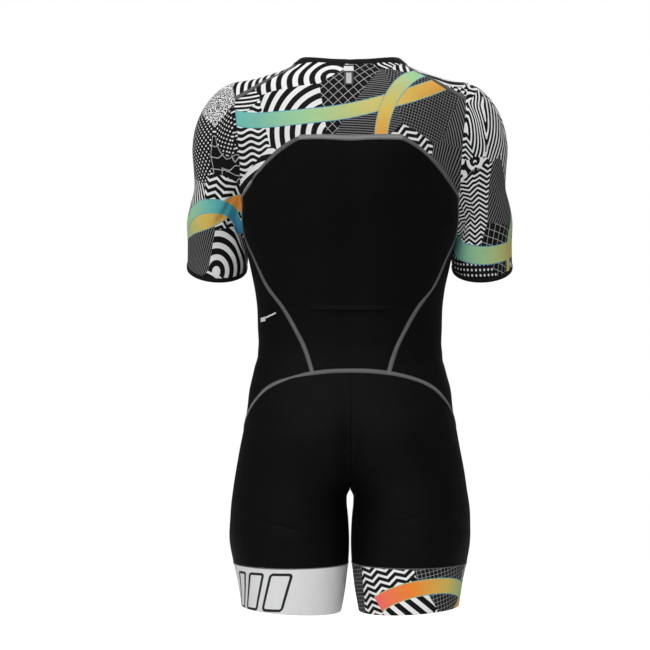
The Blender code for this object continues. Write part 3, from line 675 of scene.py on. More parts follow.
    def front_edge(self) -> Array:
        """The front panel's inner edge: beside the zip, then on the centre line below it."""
        top, bottom = self.lines["neck_front"][-1], self.lines["waist_front"][-1]
        steps = self.steps("front_arm") + self.steps("side")
        height = top[2] + (bottom[2] - top[2]) * np.linspace(0, 1, steps + 1) ** self.front_crowd
        across = np.where(height > self.zip_end, self.zip_width / 2, 0)
        return self.figure.drop(across, height, -1)

    def front(self) -> Array:
        """The front panel, from behind the shoulder ridge down to the waist seam."""
        s, edge = self.lines, self.front_edge()
        top = follow(s["shoulder"][::-1], s["neck_front"])
        bottom = s["waist_front"].copy()
        top[-1], bottom[-1] = edge[0], edge[-1]
        outer = follow(s["front_arm"][::-1], s["front_side"])
        return self.between(top, bottom, outer, edge)

    def armhole(self) -> Array:
        """The armhole from under the arm, up the back, over the shoulder and down the front."""
        s, under = self.lines, self.lines["underarm"]
        half = len(under) // 2
        return follow(under[half::-1], s["panel_arm"][::-1], s["yoke_arm"][::-1],
                      s["front_arm"][::-1], under[:half - 1:-1])

    def sleeve(self) -> tuple[Array, Array]:
        """The sleeve, open along the underarm, and its binding's two rows, edge last."""
        top = self.armhole()
        angle = 2 * np.pi * shares(top)
        end = self.figure.cuff_plane(angle, self.cuff_width)
        fall = np.linspace(0, 1, self.steps("sleeve") + 1)[:, None, None]
        fall = self.sleeve_even * fall + (1 - self.sleeve_even) * fall ** self.sleeve_power
        grid = top + (end - top) * fall
        inner = grid[1:-1]
        grid[1:-1] = self.figure.cast(self.figure.arm_hub(inner), inner, arms=True)
        grid[-1] = end
        return self.eased_sleeve(grid), np.array([end, self.figure.cuff_plane(angle, 0)])[:, :-1]

    def eased_sleeve(self, grid: Array) -> Array:
        """Evens the sleeve out near the armhole, where the arm's and the trunk's forms meet.

        Args:
            grid: the sleeve, whose first and last columns are the same points.

        Returns:
            The grid with each inner point moved part of the way to its neighbours' middle.
        """
        near = 1 - ramp(*self.sleeve_near, np.linspace(0, 1, len(grid)))[1:-1, None, None]
        for _ in range(self.sleeve_smoothing):
            turned = grid[:, :-1]
            sides = (np.roll(turned, 1, 1) + np.roll(turned, -1, 1))[1:-1]
            middle = (turned[:-2] + turned[2:] + sides) / 4
            inner = turned[1:-1] + self.sleeve_easing * near * (middle - turned[1:-1])
            grid[1:-1, :-1] = inner
            grid[:, -1] = grid[:, 0]
        return grid

    def leg(self) -> tuple[Array, Array]:
        """The leg from the waist seam to its band, and the band, open at the inseam."""
        s, figure = self.lines, self.figure
        top = follow(s["waist_back"], s["waist_side"], s["waist_front"])
        start, even = figure.turn_of(top), np.linspace(0, 1, len(top))
        hip = np.sin(np.linspace(0, np.pi / 2, self.steps("hip") + 1))[1:] ** self.hip_crowd
        turn = start + (even - start) * ramp(0, 1, hip)[:, None]
        upper = figure.leg_point(turn, top[:, 2] + (figure.crotch - top[:, 2]) * hip[:, None])
        heights = np.linspace(figure.crotch, self.band_top, self.steps("leg") + 1)[1:, None]
        lower = figure.leg_point(even[None], heights + 0 * even)
        hem = self.hem - self.hem_drop * np.cos(2 * np.pi * even)
        heights = self.band_top + (hem - self.band_top) * np.linspace(0, 1, self.steps("band") + 1)[:, None]
        return np.concatenate([top[None], upper, lower]), figure.leg_point(even[None], heights)

    def neck(self) -> Array:
        """The neck binding's edge and seam, from one side of the zip to the other."""
        back, front = self.lines["neck_back"], self.lines["neck_front"]
        half_edge = follow(self.stretch(NECK_EDGE, (0, 3), len(back) - 1),
                           self.stretch(NECK_EDGE, (3, 8), len(front) - 1))
        grid = np.array([follow(mirrored(half), half) for half in (half_edge, follow(back, front))])
        grid[:, 0, 0] -= self.zip_width / 2
        grid[:, -1, 0] += self.zip_width / 2
        return grid

    def zip_line(self) -> Array:
        """The middle of the zip, from the neck's edge down to its end."""
        edge = self.front_edge()
        top = self.stretch(NECK_EDGE, (7, 8), self.detail)[-1]
        line = np.vstack([top, edge[edge[:, 2] > self.zip_end]])
        line[:, 0] = 0
        return line


# Cloth ----------------------------------------------------------------------------------

EDGE_PLACES = (0.0008, 0.0022)      # extra rows this far from an edge
EDGE_CAPS = (0.30, 0.65)            # but no further than this share of the next row
SPRING_GAIN = 0.28                  # how much of its error a spring takes up in a round
SPRING_ROUNDS = ((8, 500), (4, 160), (1, 40))   # grid stride, and rounds at that stride


class Edge(enum.Enum):
    """What an edge of a piece is."""

    TRUNK_SEAM = "sewn to a neighbour on the trunk or at the armhole"
    OWN_SEAM = "sewn to a neighbour, and turned by the piece's own form"
    OPEN = "an open edge"


# How deep the cloth dips at each kind of edge, there and one row on.
EDGE_DEPTH = {Edge.TRUNK_SEAM: (0.0007, 0.00022), Edge.OWN_SEAM: (0.0003, 0.00008),
              Edge.OPEN: (0.0003, 0.0001)}


class Facing(enum.Enum):
    """The side that a crease is drawn on: its two directions on the page, and outwards."""

    BACK = ((1, 0, 0), (0, 0, 1), (0, 1, 0))
    FRONT = ((1, 0, 0), (0, 0, 1), (0, -1, 0))
    LEFT = ((0, 1, 0), (0, 0, 1), (1, 0, 0))
    RIGHT = ((0, 1, 0), (0, 0, 1), (-1, 0, 0))


@dataclass(frozen=True)
class Crease:
    """A soft trough with a ridge on its left, seen along its rows; sizes in millimetres."""

    facing: Facing
    rows: tuple
    depth: float
    width: float
    ridge: float = 0.55
    ridge_place: float = 1.8
    ridge_width: float = 1.2
    steps: int = 32
    end_power: float = 0.7      # how fast it fades towards its ends
    turn_power: float = 0.5     # and where the cloth turns away

    def rise(self, points: Array, normals: Array) -> Array:
        """How far the crease pushes points out: a bell-shaped trough beside a bell-shaped ridge.

        Args:
            points: points of the cloth.
            normals: its outward directions there.

        Returns:
            Heights in metres, below 0 in the trough.
        """
        across, up, out = np.array(self.facing.value, float)
        flat = np.stack([points @ across, points @ up], -1)
        line = drawn(self.rows, np.linspace(0, len(self.rows) - 1, self.steps))
        gap = flat[..., None, :] - line
        nearest = (gap ** 2).sum(-1).argmin(-1)
        gap = np.take_along_axis(gap, nearest[..., None, None], -2)[..., 0, :]
        along = np.gradient(line, axis=0)[nearest]
        side = np.sign(along[..., 0] * gap[..., 1] - along[..., 1] * gap[..., 0])
        away = side * np.linalg.norm(gap, axis=-1) * 1000 / self.width
        trough = -np.exp(-away ** 2)
        ridge = self.ridge * np.exp(-((away - self.ridge_place) / self.ridge_width) ** 2)
        taper = np.sin(np.pi * (nearest + 0.5) / self.steps) ** self.end_power
        seen = np.clip(normals @ out, 0, 1) ** self.turn_power
        return self.depth / 1000 * taper * seen * (trough + ridge)


# The creases, by the side that they are drawn on: rows, depth, width, and where
# they differ from a Crease's own, ridge and ridge_place.
CREASES = {
    Facing.BACK: (
        # Under the seat.
        (((150, -726), (100, -740), (34, -748)), 1.7, 9.0, 1.0, 2.3),
        (((46, -747), (80, -746), (95, -741.5), (115, -736), (141, -729)), 1.3, 1.7, 0.9),
        (((-34, -735), (-76, -729), (-150, -715)), 1.5, 9.0, -1.0, 2.3),
        (((-106, -720.5), (-86, -729.5), (-66, -731), (-45, -732)), 1.1, 1.7, 0.9),
        # Above the pocket's mouth.
        (((95, -396.5), (63, -391), (37, -384), (0, -378.5), (-28, -384), (-54, -391),
          (-90, -397)), 0.45, 2.4, 0.3),
        # Behind the armpits, on the sleeves.
        (((184, -216), (190, -232), (199, -250), (214, -268)), 2.6, 4.5),
        (((180, -232), (186, -252), (199, -276)), 1.8, 4.0),
        (((188, -200), (200, -214), (216, -230), (228, -242)), 1.2, 5.0),
        (((-204, -196), (-197, -224), (-188, -252), (-178, -284)), 2.4, 2.6, 0.8),
        (((-180, -232), (-187, -256), (-196, -279)), 1.6, 3.2),
        (((-199, -246), (-190, -264), (-180, -280)), 1.6, 2.0, 0.9),
        (((-188, -196), (-199, -216), (-212, -236)), 1.1, 5.0),
        # Behind the armpits, on the yoke and the back panel.
        (((172, -196), (158, -190), (146, -180)), 1.1, 5.0),
        (((-172, -200), (-160, -196), (-144, -188)), 1.3, 5.0),
        (((168, -262), (152, -266), (134, -276)), 1.0, 6.0),
        (((-168, -258), (-150, -264), (-136, -268)), 0.9, 6.0),
        # Across the small of the back.
        (((-66, -452), (-30, -458), (4, -456)), 0.7, 8.0),
    ),
    Facing.FRONT: (
        # In front of the armpits.
        (((176, -236), (184, -252), (196, -272)), 2.0, 4.5),
        (((180, -212), (192, -230), (210, -250)), 1.4, 5.0),
        (((-176, -232), (-186, -254), (-200, -270)), 1.8, 4.5),
        (((-181, -208), (-193, -224), (-208, -238)), 1.2, 5.0),
        (((166, -226), (146, -222), (122, -212)), 1.6, 6.0),
        (((166, -204), (148, -194), (134, -182)), 1.0, 6.0),
        (((-166, -224), (-142, -222), (-118, -216)), 1.5, 6.0),
        (((-167, -200), (-152, -192), (-130, -186)), 1.1, 6.0),
        # Across the waist and the fold of the hips.
        (((14, -470), (52, -478), (96, -472)), 1.1, 8.0),
        (((-10, -512), (-48, -520), (-84, -514)), 0.9, 8.0),
        (((96, -648), (68, -668), (40, -686), (16, -694)), 2.2, 6.0),
        (((-98, -650), (-66, -671), (-38, -688), (-14, -695)), 2.0, 6.0),
        (((120, -676), (92, -696), (62, -712)), 1.1, 7.0),
        (((-112, -672), (-90, -692), (-58, -709)), 1.2, 7.0),
    ),
    Facing.LEFT: (
        (((-58, -474), (-24, -480), (16, -474)), 1.0, 8.0),
    ),
    Facing.RIGHT: (
        (((-50, -480), (-14, -484), (22, -478)), 1.0, 8.0),
    ),
}

# Slow swells of the cloth: waves on each axis in radians a metre, phase, and height.
SWELLS = table("x y z phase height", (
    (38, 21, 57, 0.4, 0.00022), (-61, 34, 44, 2.1, 0.00018), (27, -49, 92, 4.4, 0.00014),
))


def swell(points: Array) -> Array:
    """Slow unevenness of the cloth: a sum of waves through space."""
    waves = np.stack([SWELLS["x"], SWELLS["y"], SWELLS["z"]])
    return (SWELLS["height"] * np.sin(points @ waves + SWELLS["phase"])).sum(-1)


def with_edge_rows(sheet: Array, axis: int) -> Array:
    """Adds two rows close to each end of a grid, so that its edge can roll inwards.

    Args:
        sheet: rows × columns × channels, of which the first three are the place.
        axis: 0 to add rows, 1 to add columns.

    Returns:
        The grid with four more rows or columns, by linear steps between its own.
    """
    rows = np.moveaxis(sheet, axis, 0)

    def near(edge: Array, inner: Array) -> list[Array]:
        """Two rows between an edge row and the next one in."""
        step = inner - edge
        size = np.maximum(np.linalg.norm(step[..., :3], axis=-1, keepdims=True), TINY)
        return [edge + step * np.minimum(d / size, cap) for d, cap in zip(EDGE_PLACES, EDGE_CAPS)]

    first, last = near(rows[0], rows[1]), near(rows[-1], rows[-2])[::-1]
    return np.moveaxis(np.concatenate([rows[:1], first, rows[1:-1], last, rows[-1:]]), 0, axis)


def relaxed(flat: Array, shape: Array, rounds: int) -> Array:
    """Moves flat points until their neighbours are as far apart as on the shape.

    Args:
        flat: rows × columns × 2 starting places.
        shape: rows × columns × 3 points of the piece.
        rounds: how often each point is pulled by its springs, two along each of four directions.

    Returns:
        The flat places.
    """
    here, on = slice(None, -1), slice(1, None)
    whole = slice(None)
    pairs = (((whole, here), (whole, on)), ((here, whole), (on, whole)),
             ((here, here), (on, on)), ((on, here), (here, on)))
    rest = [np.linalg.norm(shape[b] - shape[a], axis=-1) for a, b in pairs]
    for _ in range(rounds):
        move = np.zeros_like(flat)
        for (a, b), length in zip(pairs, rest):
            gap = flat[b] - flat[a]
            now = np.maximum(np.linalg.norm(gap, axis=-1), TINY)
            pull = gap * ((now - length) / now / 2)[..., None]
            move[a] += pull
            move[b] -= pull
        flat = flat + SPRING_GAIN * move
    return flat


def laid_flat(shape: Array) -> Array:
    """A piece's cut, laid flat without changing its lengths, by springs on finer and finer grids.

    Args:
        shape: rows × columns × 3, with a multiple of 8 steps each way.

    Returns:
        Rows × columns × 2 in metres, with the columns' direction along the first.
    """
    flat = None
    for stride, rounds in SPRING_ROUNDS:
        part = shape[::stride, ::stride]
        if flat is None:
            across, down = lengths(part, 1), lengths(part).mean(1)
            flat = np.stack([across - across[:, -1:] / 2, -down[:, None] + 0 * across], -1)
        else:
            at = [np.linspace(0, size - 1, new) for size, new in zip(flat.shape[:2], part.shape[:2])]
            flat = resampled(resampled(flat, at[0], 0), at[1], 1)
        flat = relaxed(flat, part, rounds)
    return flat - flat.reshape(-1, 2).mean(0)


def resampled(grid: Array, at: Array, axis: int) -> Array:
    """A grid read at fractional rows, on cubics through the whole ones.

    Args:
        grid: rows × columns × channels.
        at: the rows, or columns, to read.
        axis: 0 for rows, 1 for columns.

    Returns:
        The grid at those places.
    """
    k = np.clip(at.astype(int), 0, grid.shape[axis] - 2)
    t = (at - k).reshape([-1 if i == axis else 1 for i in range(grid.ndim)])
    ends, slopes = ([np.take(values, row, axis) for row in (k, k + 1)]
                    for values in (grid, np.gradient(grid, axis=axis)))
    return hermite(t, 1, ends, slopes)


def flat_area(flat: Array) -> float:
    """The area of a flat grid: the sum of its cells' cross products over 2."""
    one, other = flat[1:, 1:] - flat[:-1, :-1], flat[1:, :-1] - flat[:-1, 1:]
    return float(np.abs(one[..., 0] * other[..., 1] - one[..., 1] * other[..., 0]).sum() / 2)


def grid_faces(rows: int, columns: int, ring: bool, loop: bool = False) -> Array:
    """Corner numbers of a grid's faces; ring joins its last column to its first, loop its rows.

    Args:
        rows, columns: how many points it has each way.
        ring, loop: whether its columns, or rows, close.

    Returns:
        Four numbers for each face.
    """
    r, c = np.arange(rows), np.arange(columns)
    r0, c0 = r if loop else r[:-1], c if ring else c[:-1]
    r1, c1 = (r0 + 1) % rows, (c0 + 1) % columns
    corners = ((r0, c0), (r0, c1), (r1, c1), (r1, c0))
    return np.stack([(a[:, None] * columns + b[None]).ravel() for a, b in corners], -1)


def linked(name: str, data: bpy.types.ID) -> Piece:
    """A new object in the scene."""
    piece = bpy.data.objects.new(name, data)
    bpy.context.scene.collection.objects.link(piece)
    return piece


def mesh_object(name: str, points: Array, faces: list) -> Piece:
    """A smooth object from points and its faces' corner numbers.

    Args:
        name: the piece's name.
        points: points in metres, in any array of triples.
        faces: for each face, the numbers of its corners.

    Returns:
        The object, linked to the scene.
    """
    mesh = bpy.data.meshes.new(name)
    mesh.from_pydata(points.reshape(-1, 3).tolist(), [], faces)
    mesh.shade_smooth()
    return linked(name, mesh)


def grid_object(name: str, points: Array, flat: Array | None = None, ring: bool = False,
                loop: bool = False, capped: bool = False) -> Piece:
    """Makes a smooth object from a grid of points, at the origin.

    Args:
        name: the piece's name.
        points: rows × columns × 3.
        flat: rows × columns × 2 for the UV map "flat", with one more column on a ring.
        ring: whether the last column joins the first.
        loop: whether the last row joins the first.
        capped: whether the first and last rows are closed by a face.

    Returns:
        The object, linked to the scene.
    """
    rows, columns = points.shape[:2]
    faces = grid_faces(rows, columns, ring, loop).tolist()
    sides = len(faces)
    if capped:
        faces += [list(range(columns))[::-1], list(range((rows - 1) * columns, rows * columns))]
    piece = mesh_object(name, points, faces)
    if flat is not None:
        layer = piece.data.uv_layers.new(name="flat")
        values = np.zeros((len(piece.data.loops), 2), np.float32)
        corners = grid_faces(rows, flat.shape[1], ring=False)
        values[:sides * 4] = flat.reshape(-1, 2)[corners.ravel()]
        layer.data.foreach_set("uv", values.ravel())
    return piece


def thickened(piece: Piece, wall: float) -> bpy.types.Modifier:
    """Gives a sheet a wall behind its face."""
    shell = piece.modifiers.new("wall", "SOLIDIFY")
    shell.thickness, shell.offset = wall, -1
    return shell


def outward_faces(mesh: bpy.types.Mesh) -> None:
    """Turns a closed mesh's faces outwards if its signed volume is below 0.

    Args:
        mesh: the mesh; the volume is the sum of its triangles' triple products.
    """
    mesh.calc_loop_triangles()
    corners = np.zeros(len(mesh.loop_triangles) * 3, np.int32)
    mesh.loop_triangles.foreach_get("vertices", corners)
    places = np.zeros(len(mesh.vertices) * 3, np.float32)
    mesh.vertices.foreach_get("co", places)
    a, b, c = np.swapaxes(places.reshape(-1, 3).astype(float)[corners.reshape(-1, 3)], 0, 1)
    if (np.cross(a, b) * c).sum() < 0:
        mesh.flip_normals()


def belong(piece: Piece, slot: str, *finishes: "Finish", nodes: tuple[str, ...] = (),
           body: str = "suit") -> None:
    """Gives a piece its finishes, its body and the nodes that it stands for, and logs it.

    Args:
        piece: the object.
        slot: the record's slot of its material; not used.
        finishes: its materials, the outer one first.
        nodes: the nodes of the record that it replaces.
        body: the body that it rides on.
    """
    for finish in finishes:
        piece.data.materials.append(finish.material())
    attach(piece, body)
    if nodes:
        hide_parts(*nodes)
    log.info("%s: %d faces", piece.name, len(piece.data.polygons))


@dataclass
class ClothPiece:
    """A cut piece of cloth: its form on the figure, and its cut laid flat."""

    name: str
    node: str
    shape: Array
    edges: tuple[Edge, Edge, Edge, Edge]    # top, bottom, left, right
    flat: Array | None = None
    wall: float = 0.0008
    held: str = "stretched"

    def __post_init__(self) -> None:
        """Lays the cut flat if that isn't done yet."""
        if self.flat is None:
            self.flat = laid_flat(self.shape)

    def refined(self, first: int, last: int, parts: int) -> "ClothPiece":
        """The same piece with each step between two of its rows split into parts."""
        places = np.concatenate([np.arange(first), np.arange(first * parts, last * parts) / parts,
                                 np.arange(last, len(self.shape))])
        return replace(self, shape=resampled(self.shape, places, 0), flat=resampled(self.flat, places, 0))

    def twin(self) -> "ClothPiece":
        """The same piece on the wearer's right; its flat cut is turned over."""
        name, node = (text.replace("_left", "_right") for text in (self.name, self.node))
        top, bottom, left, right = self.edges
        return replace(self, name=name, node=node, shape=mirrored(self.shape),
                       flat=self.flat[:, ::-1] * (-1, 1), edges=(top, bottom, right, left))

    def dips(self, rows: int, columns: int) -> tuple[Array, Array]:
        """How deep the cloth dips near its edges, and where it follows the figure there.

        Args:
            rows, columns: size of the grid, extra rows included.

        Returns:
            Depths in metres, and True where the figure gives the direction.
        """
        depth, on_trunk = np.zeros((rows, columns)), np.zeros((rows, columns), bool)
        views = ((depth, on_trunk), (depth[::-1], on_trunk[::-1]),
                 (depth.T, on_trunk.T), (depth.T[::-1], on_trunk.T[::-1]))
        for edge, (deep, trunk) in zip(self.edges, views):
            for row, size in enumerate(EDGE_DEPTH[edge]):
                deep[row] = np.maximum(deep[row], size)
            if edge is Edge.TRUNK_SEAM:
                trunk[0] = True
        return depth, on_trunk

    def draped(self, figure: Figure) -> tuple[Array, Array]:
        """The piece's fine form, moved along its normals by swells, creases and seam valleys.

        Args:
            figure: the figure, which gives both sides of a trunk seam the same normal.

        Returns:
            The points, and the flat places of the same grid.
        """
        sheet = np.concatenate([self.shape, self.flat], -1)
        for axis in (0, 1):
            sheet = with_edge_rows(sheet, axis)
        points, flat = sheet[..., :3], sheet[..., 3:]
        depth, on_trunk = self.dips(*points.shape[:2])
        normals = grid_normals(points)
        normals[on_trunk] = figure.outward(points[on_trunk])
        normals[np.abs(points[..., 0]) < ON_PLANE, 0] = 0
        rise = swell(points) - depth
        for facing, creases in CREASES.items():
            rise += sum(Crease(facing, *crease).rise(points, normals) for crease in creases)
        return points + rise[..., None] * normals, flat

    def make(self, figure: Figure, dye: "Dye", place: Pair = (0, 0)) -> None:
        """Args:
            figure: the figure that it lies on.
            dye: the finishes of its two sides, and their slot.
            place: where its cut lies on the printed cloth, in metres.
        """
        points, flat = self.draped(figure)
        piece = grid_object(self.name, points, flat + place)
        thickened(piece, self.wall).material_offset = 1
        face, back, slot = dye.value
        belong(piece, slot, face, back, nodes=(self.node,))
        flat_area(self.flat)


# Carried profiles -----------------------------------------------------------------------

@dataclass
class Route:
    """A line on the cloth with its outward directions, as it is followed by a seam or a thread."""

    points: Array
    out: Array
    closed: bool = False

    def even(self, step: float) -> "Route":
        """The same route in even steps of about the given length.

        Args:
            step: the length in metres.

        Returns:
            The route, with whole steps.
        """
        both = np.hstack([self.points, self.out])
        if self.closed:
            both = np.vstack([both, both[:1]])
        size = lengths(both[:, :3])[-1]
        count = max(2, round(size / step))
        places = np.linspace(0, size, count + 1)
        both = along_line(both, places[:-1] if self.closed else places)
        return Route(both[:, :3], unit(both[:, 3:]), self.closed)

    def length(self) -> float:
        """How long the route is."""
        ends = np.vstack([self.points, self.points[:1]]) if self.closed else self.points
        return float(lengths(ends)[-1])

    def directions(self) -> tuple[Array, Array, Array]:
        """Along, sideways and outwards at each point: sideways is along crossed with outwards."""
        if self.closed:
            along = np.roll(self.points, -1, 0) - np.roll(self.points, 1, 0)
        else:
            along = np.gradient(self.points, axis=0)
        along = unit(along)
        side = unit(np.cross(along, self.out))
        return along, side, np.cross(side, along)

    def carry(self, side: Array, out: Array) -> Array:
        """Carries a profile along the route: each point plus sideways and outward shares of it."""
        _, sideways, outwards = (way[:, None] for way in self.directions())
        return self.points[:, None] + side[..., None] * sideways + out[..., None] * outwards

    def shifted(self, side: float, out: float) -> "Route":
        """The route moved sideways and outwards."""
        return Route(self.carry(np.array([side]), np.array([out]))[:, 0], self.out, self.closed)

    def thread(self, name: str, radius: float, finish: "Finish", sides: int = 4) -> None:
        """Makes a thread along the route: a circle carried along it."""
        points = self.carry(radius * np.cos(turns(sides)), -radius * np.sin(turns(sides)))
        piece = grid_object(name, points, ring=True, loop=self.closed, capped=not self.closed)
        belong(piece, "binding", finish)

    def strip(self, name: str, points: Array, girth: Array, ring: bool = False) -> Piece:
        """Makes a carried profile's surface, with a map of its girth and of the route's length.

        Args:
            name: the piece's name.
            points: the profile's points, a row for each place on the route.
            girth: the map's places across, one more than the points on a ring.
            ring: whether the profile closes.

        Returns:
            The object, linked to the scene.
        """
        if self.closed:
            points = np.concatenate([points, points[:1]])
        reach = np.linspace(0, self.length(), len(points))
        flat = np.stack(np.meshgrid(girth, reach), -1)
        return grid_object(name, points, flat, ring=ring, capped=ring and not self.closed)

    def zigzag(self, pitch: float, half: float, rise: float, phase: float) -> "Route":
        """A thread that goes to and fro across the route, over a dome.

        Args:
            pitch: length along the route of one to and fro.
            half: how far it reaches to each side.
            rise: how much higher the middle is than the edges.
            phase: 0 or 1, for the half of the pitch that it starts with.

        Returns:
            The thread's route, with four points for each pitch.
        """
        fine = self.even(pitch / 4)
        place = (np.arange(len(fine.points)) + 2 * phase) % 4
        across = np.array((0, 1, 0, -1))[place] * half
        height = np.array((1, 0, 1, 0))[place] * rise
        _, side, out = fine.directions()
        return Route(fine.points + across[:, None] * side + height[:, None] * out, out, self.closed)

    def stitched(self, stitch: float, rise: float) -> "Route":
        """A thread that dips under the cloth between stitches: three points up and one down."""
        fine = self.even(stitch / 4)
        up = np.array((1, 1, 1, -1))[np.arange(len(fine.points)) % 4] * rise
        return Route(fine.points + up[:, None] * fine.out, fine.out, self.closed)


def superellipse(angle: Array, roundness: float) -> tuple[Array, Array]:
    """Cosine and sine brought towards a square: each keeps its sign and takes a power."""
    cosine, sine = np.cos(angle), np.sin(angle)
    return (np.sign(cosine) * np.abs(cosine) ** roundness, np.sign(sine) * np.abs(sine) ** roundness)


# Node trees -----------------------------------------------------------------------------

def counting(operation: str) -> Callable[..., "Value"]:
    """A method of Value that adds one kind of Math node, whose first input is the value."""
    return lambda value, *others: value.graph.math(operation, value, *others)


class Value:
    """A socket that can be counted with: each sum, product or comparison adds a Math node.

    times_plus takes a factor and a term; most and least are the larger and the smaller of two.
    """

    __add__ = counting("ADD")
    __sub__ = counting("SUBTRACT")
    __mul__ = counting("MULTIPLY")
    __truediv__ = counting("DIVIDE")
    __pow__ = counting("POWER")
    __abs__ = counting("ABSOLUTE")
    __gt__ = counting("GREATER_THAN")
    __lt__ = counting("LESS_THAN")
    times_plus = counting("MULTIPLY_ADD")
    most = counting("MAXIMUM")
    least = counting("MINIMUM")
    root = counting("SQRT")
    sine = counting("SINE")
    fract = counting("FRACT")
    arctan2 = counting("ARCTAN2")
    wrapped = counting("WRAP")
    pingpong = counting("PINGPONG")

    def __init__(self, graph: "Graph", socket: Socket) -> None:
        """Holds a socket of the graph's tree."""
        self.graph, self.socket = graph, socket

    def __rsub__(self, other: float) -> "Value":
        """A number less this value."""
        return self.graph.math("SUBTRACT", other, self)

    def __rtruediv__(self, other: float) -> "Value":
        """A number over this value."""
        return self.graph.math("DIVIDE", other, self)


Number = float | Socket | Value


class Graph:
    """Adds and joins the nodes of one tree. Inputs are numbers, tuples, sockets or values."""

    def __init__(self, tree: bpy.types.NodeTree) -> None:
        """Takes the tree that nodes are added to."""
        self.tree = tree

    def set(self, node: Node, inputs: dict) -> None:
        """Gives a node's inputs their values or links, by name or number.

        Args:
            node: the node.
            inputs: numbers, tuples, sockets or values, by input.
        """
        for key, value in inputs.items():
            value = getattr(value, "socket", value)
            if isinstance(value, Socket):
                self.tree.links.new(value, node.inputs[key])
            else:
                node.inputs[key].default_value = value

    def add(self, kind: str, inputs: dict | None = None, **settings: object) -> Node:
        """Adds a node of a kind with its settings and inputs.

        Args:
            kind: the node's type, without ShaderNode in front.
            inputs: its inputs, as set takes them.
            settings: its other settings.

        Returns:
            The node.
        """
        node = self.tree.nodes.new("ShaderNode" + kind)
        for name, value in settings.items():
            setattr(node, name, value)
        self.set(node, inputs or {})
        return node

    def math(self, operation: str, *values: Number) -> Value:
        """The result of a Math node."""
        return Value(self, self.add("Math", dict(enumerate(values)), operation=operation).outputs[0])

    def vector(self, operation: str, *values: object) -> Value:
        """The result of a Vector Math node, which is a number for a length and else a vector."""
        node = self.add("VectorMath", dict(enumerate(values)), operation=operation)
        return Value(self, node.outputs["Value" if operation == "LENGTH" else 0])

    def mix(self, share: Number, one: object, other: object) -> Socket:
        """A colour between two."""
        return self.add("Mix", {0: share, 6: one, 7: other}, data_type="RGBA").outputs[2]

    def choose(self, share: Number, one: Number, other: Number) -> Value:
        """A number between two."""
        return Value(self, self.add("Mix", {0: share, 2: one, 3: other}).outputs[0])

    def parts(self, vector: Number) -> tuple[Value, Value, Value]:
        """The three parts of a vector."""
        return tuple(Value(self, part) for part in self.add("SeparateXYZ", {0: vector}).outputs)

    def cloth(self) -> Socket:
        """The place on the flat cut, in metres."""
        return self.add("UVMap", uv_map="flat").outputs[0]

    def noise(self, place: Number, scale: float, detail: float = 2.0) -> Value:
        """Soft random values over the places."""
        node = self.add("TexNoise", {"Vector": place, "Scale": scale, "Detail": detail})
        return Value(self, node.outputs[0])

    def group(self, name: str, inputs: dict) -> Node:
        """A node group with its own values."""
        node = self.add("Group", node_tree=bpy.data.node_groups[name])
        self.set(node, inputs)
        return node


def node_group(name: str, inputs: str, outputs: str) -> tuple[Graph, dict[str, Value], Node]:
    """Starts a node group with named sockets.

    Args:
        name: the group's name.
        inputs, outputs: each socket's name and its type, Float, Vector or Color, with a colon.

    Returns:
        The group's graph, its inputs by name, and its output node.
    """
    tree = bpy.data.node_groups.new(name, "ShaderNodeTree")
    for way, sockets in (("INPUT", inputs), ("OUTPUT", outputs)):
        for label, kind in (socket.split(":") for socket in sockets.split()):
            tree.interface.new_socket(name=label, in_out=way, socket_type="NodeSocket" + kind)
    start, end = tree.nodes.new("NodeGroupInput"), tree.nodes.new("NodeGroupOutput")
    graph = Graph(tree)
    return graph, {socket.name: Value(graph, socket) for socket in start.outputs if socket.name}, end


def build_knit_group() -> None:
    """Jersey knit: rows of V-shaped stitches, each a rounded ridge that leans to its wale."""
    g, given, result = node_group("knit", "Cloth:Vector Wale:Float Course:Float",
                                  "Height:Float Shade:Float")
    x, y, _ = g.parts(given["Cloth"])
    across = abs((x / given["Wale"]).fract() - 0.5)
    down = (y / given["Course"] + across).fract()
    height = (down * np.pi).sine() * (1.0 - (across * 2.0) ** 4.0)
    slow = g.noise(given["Cloth"], 60.0, 3.0)
    # Shade: painted shade, darker in the grooves between stitches, and half of it slow random tone.
    g.set(result, {"Height": height, "Shade": height.times_plus(0.5, slow * 0.5)})


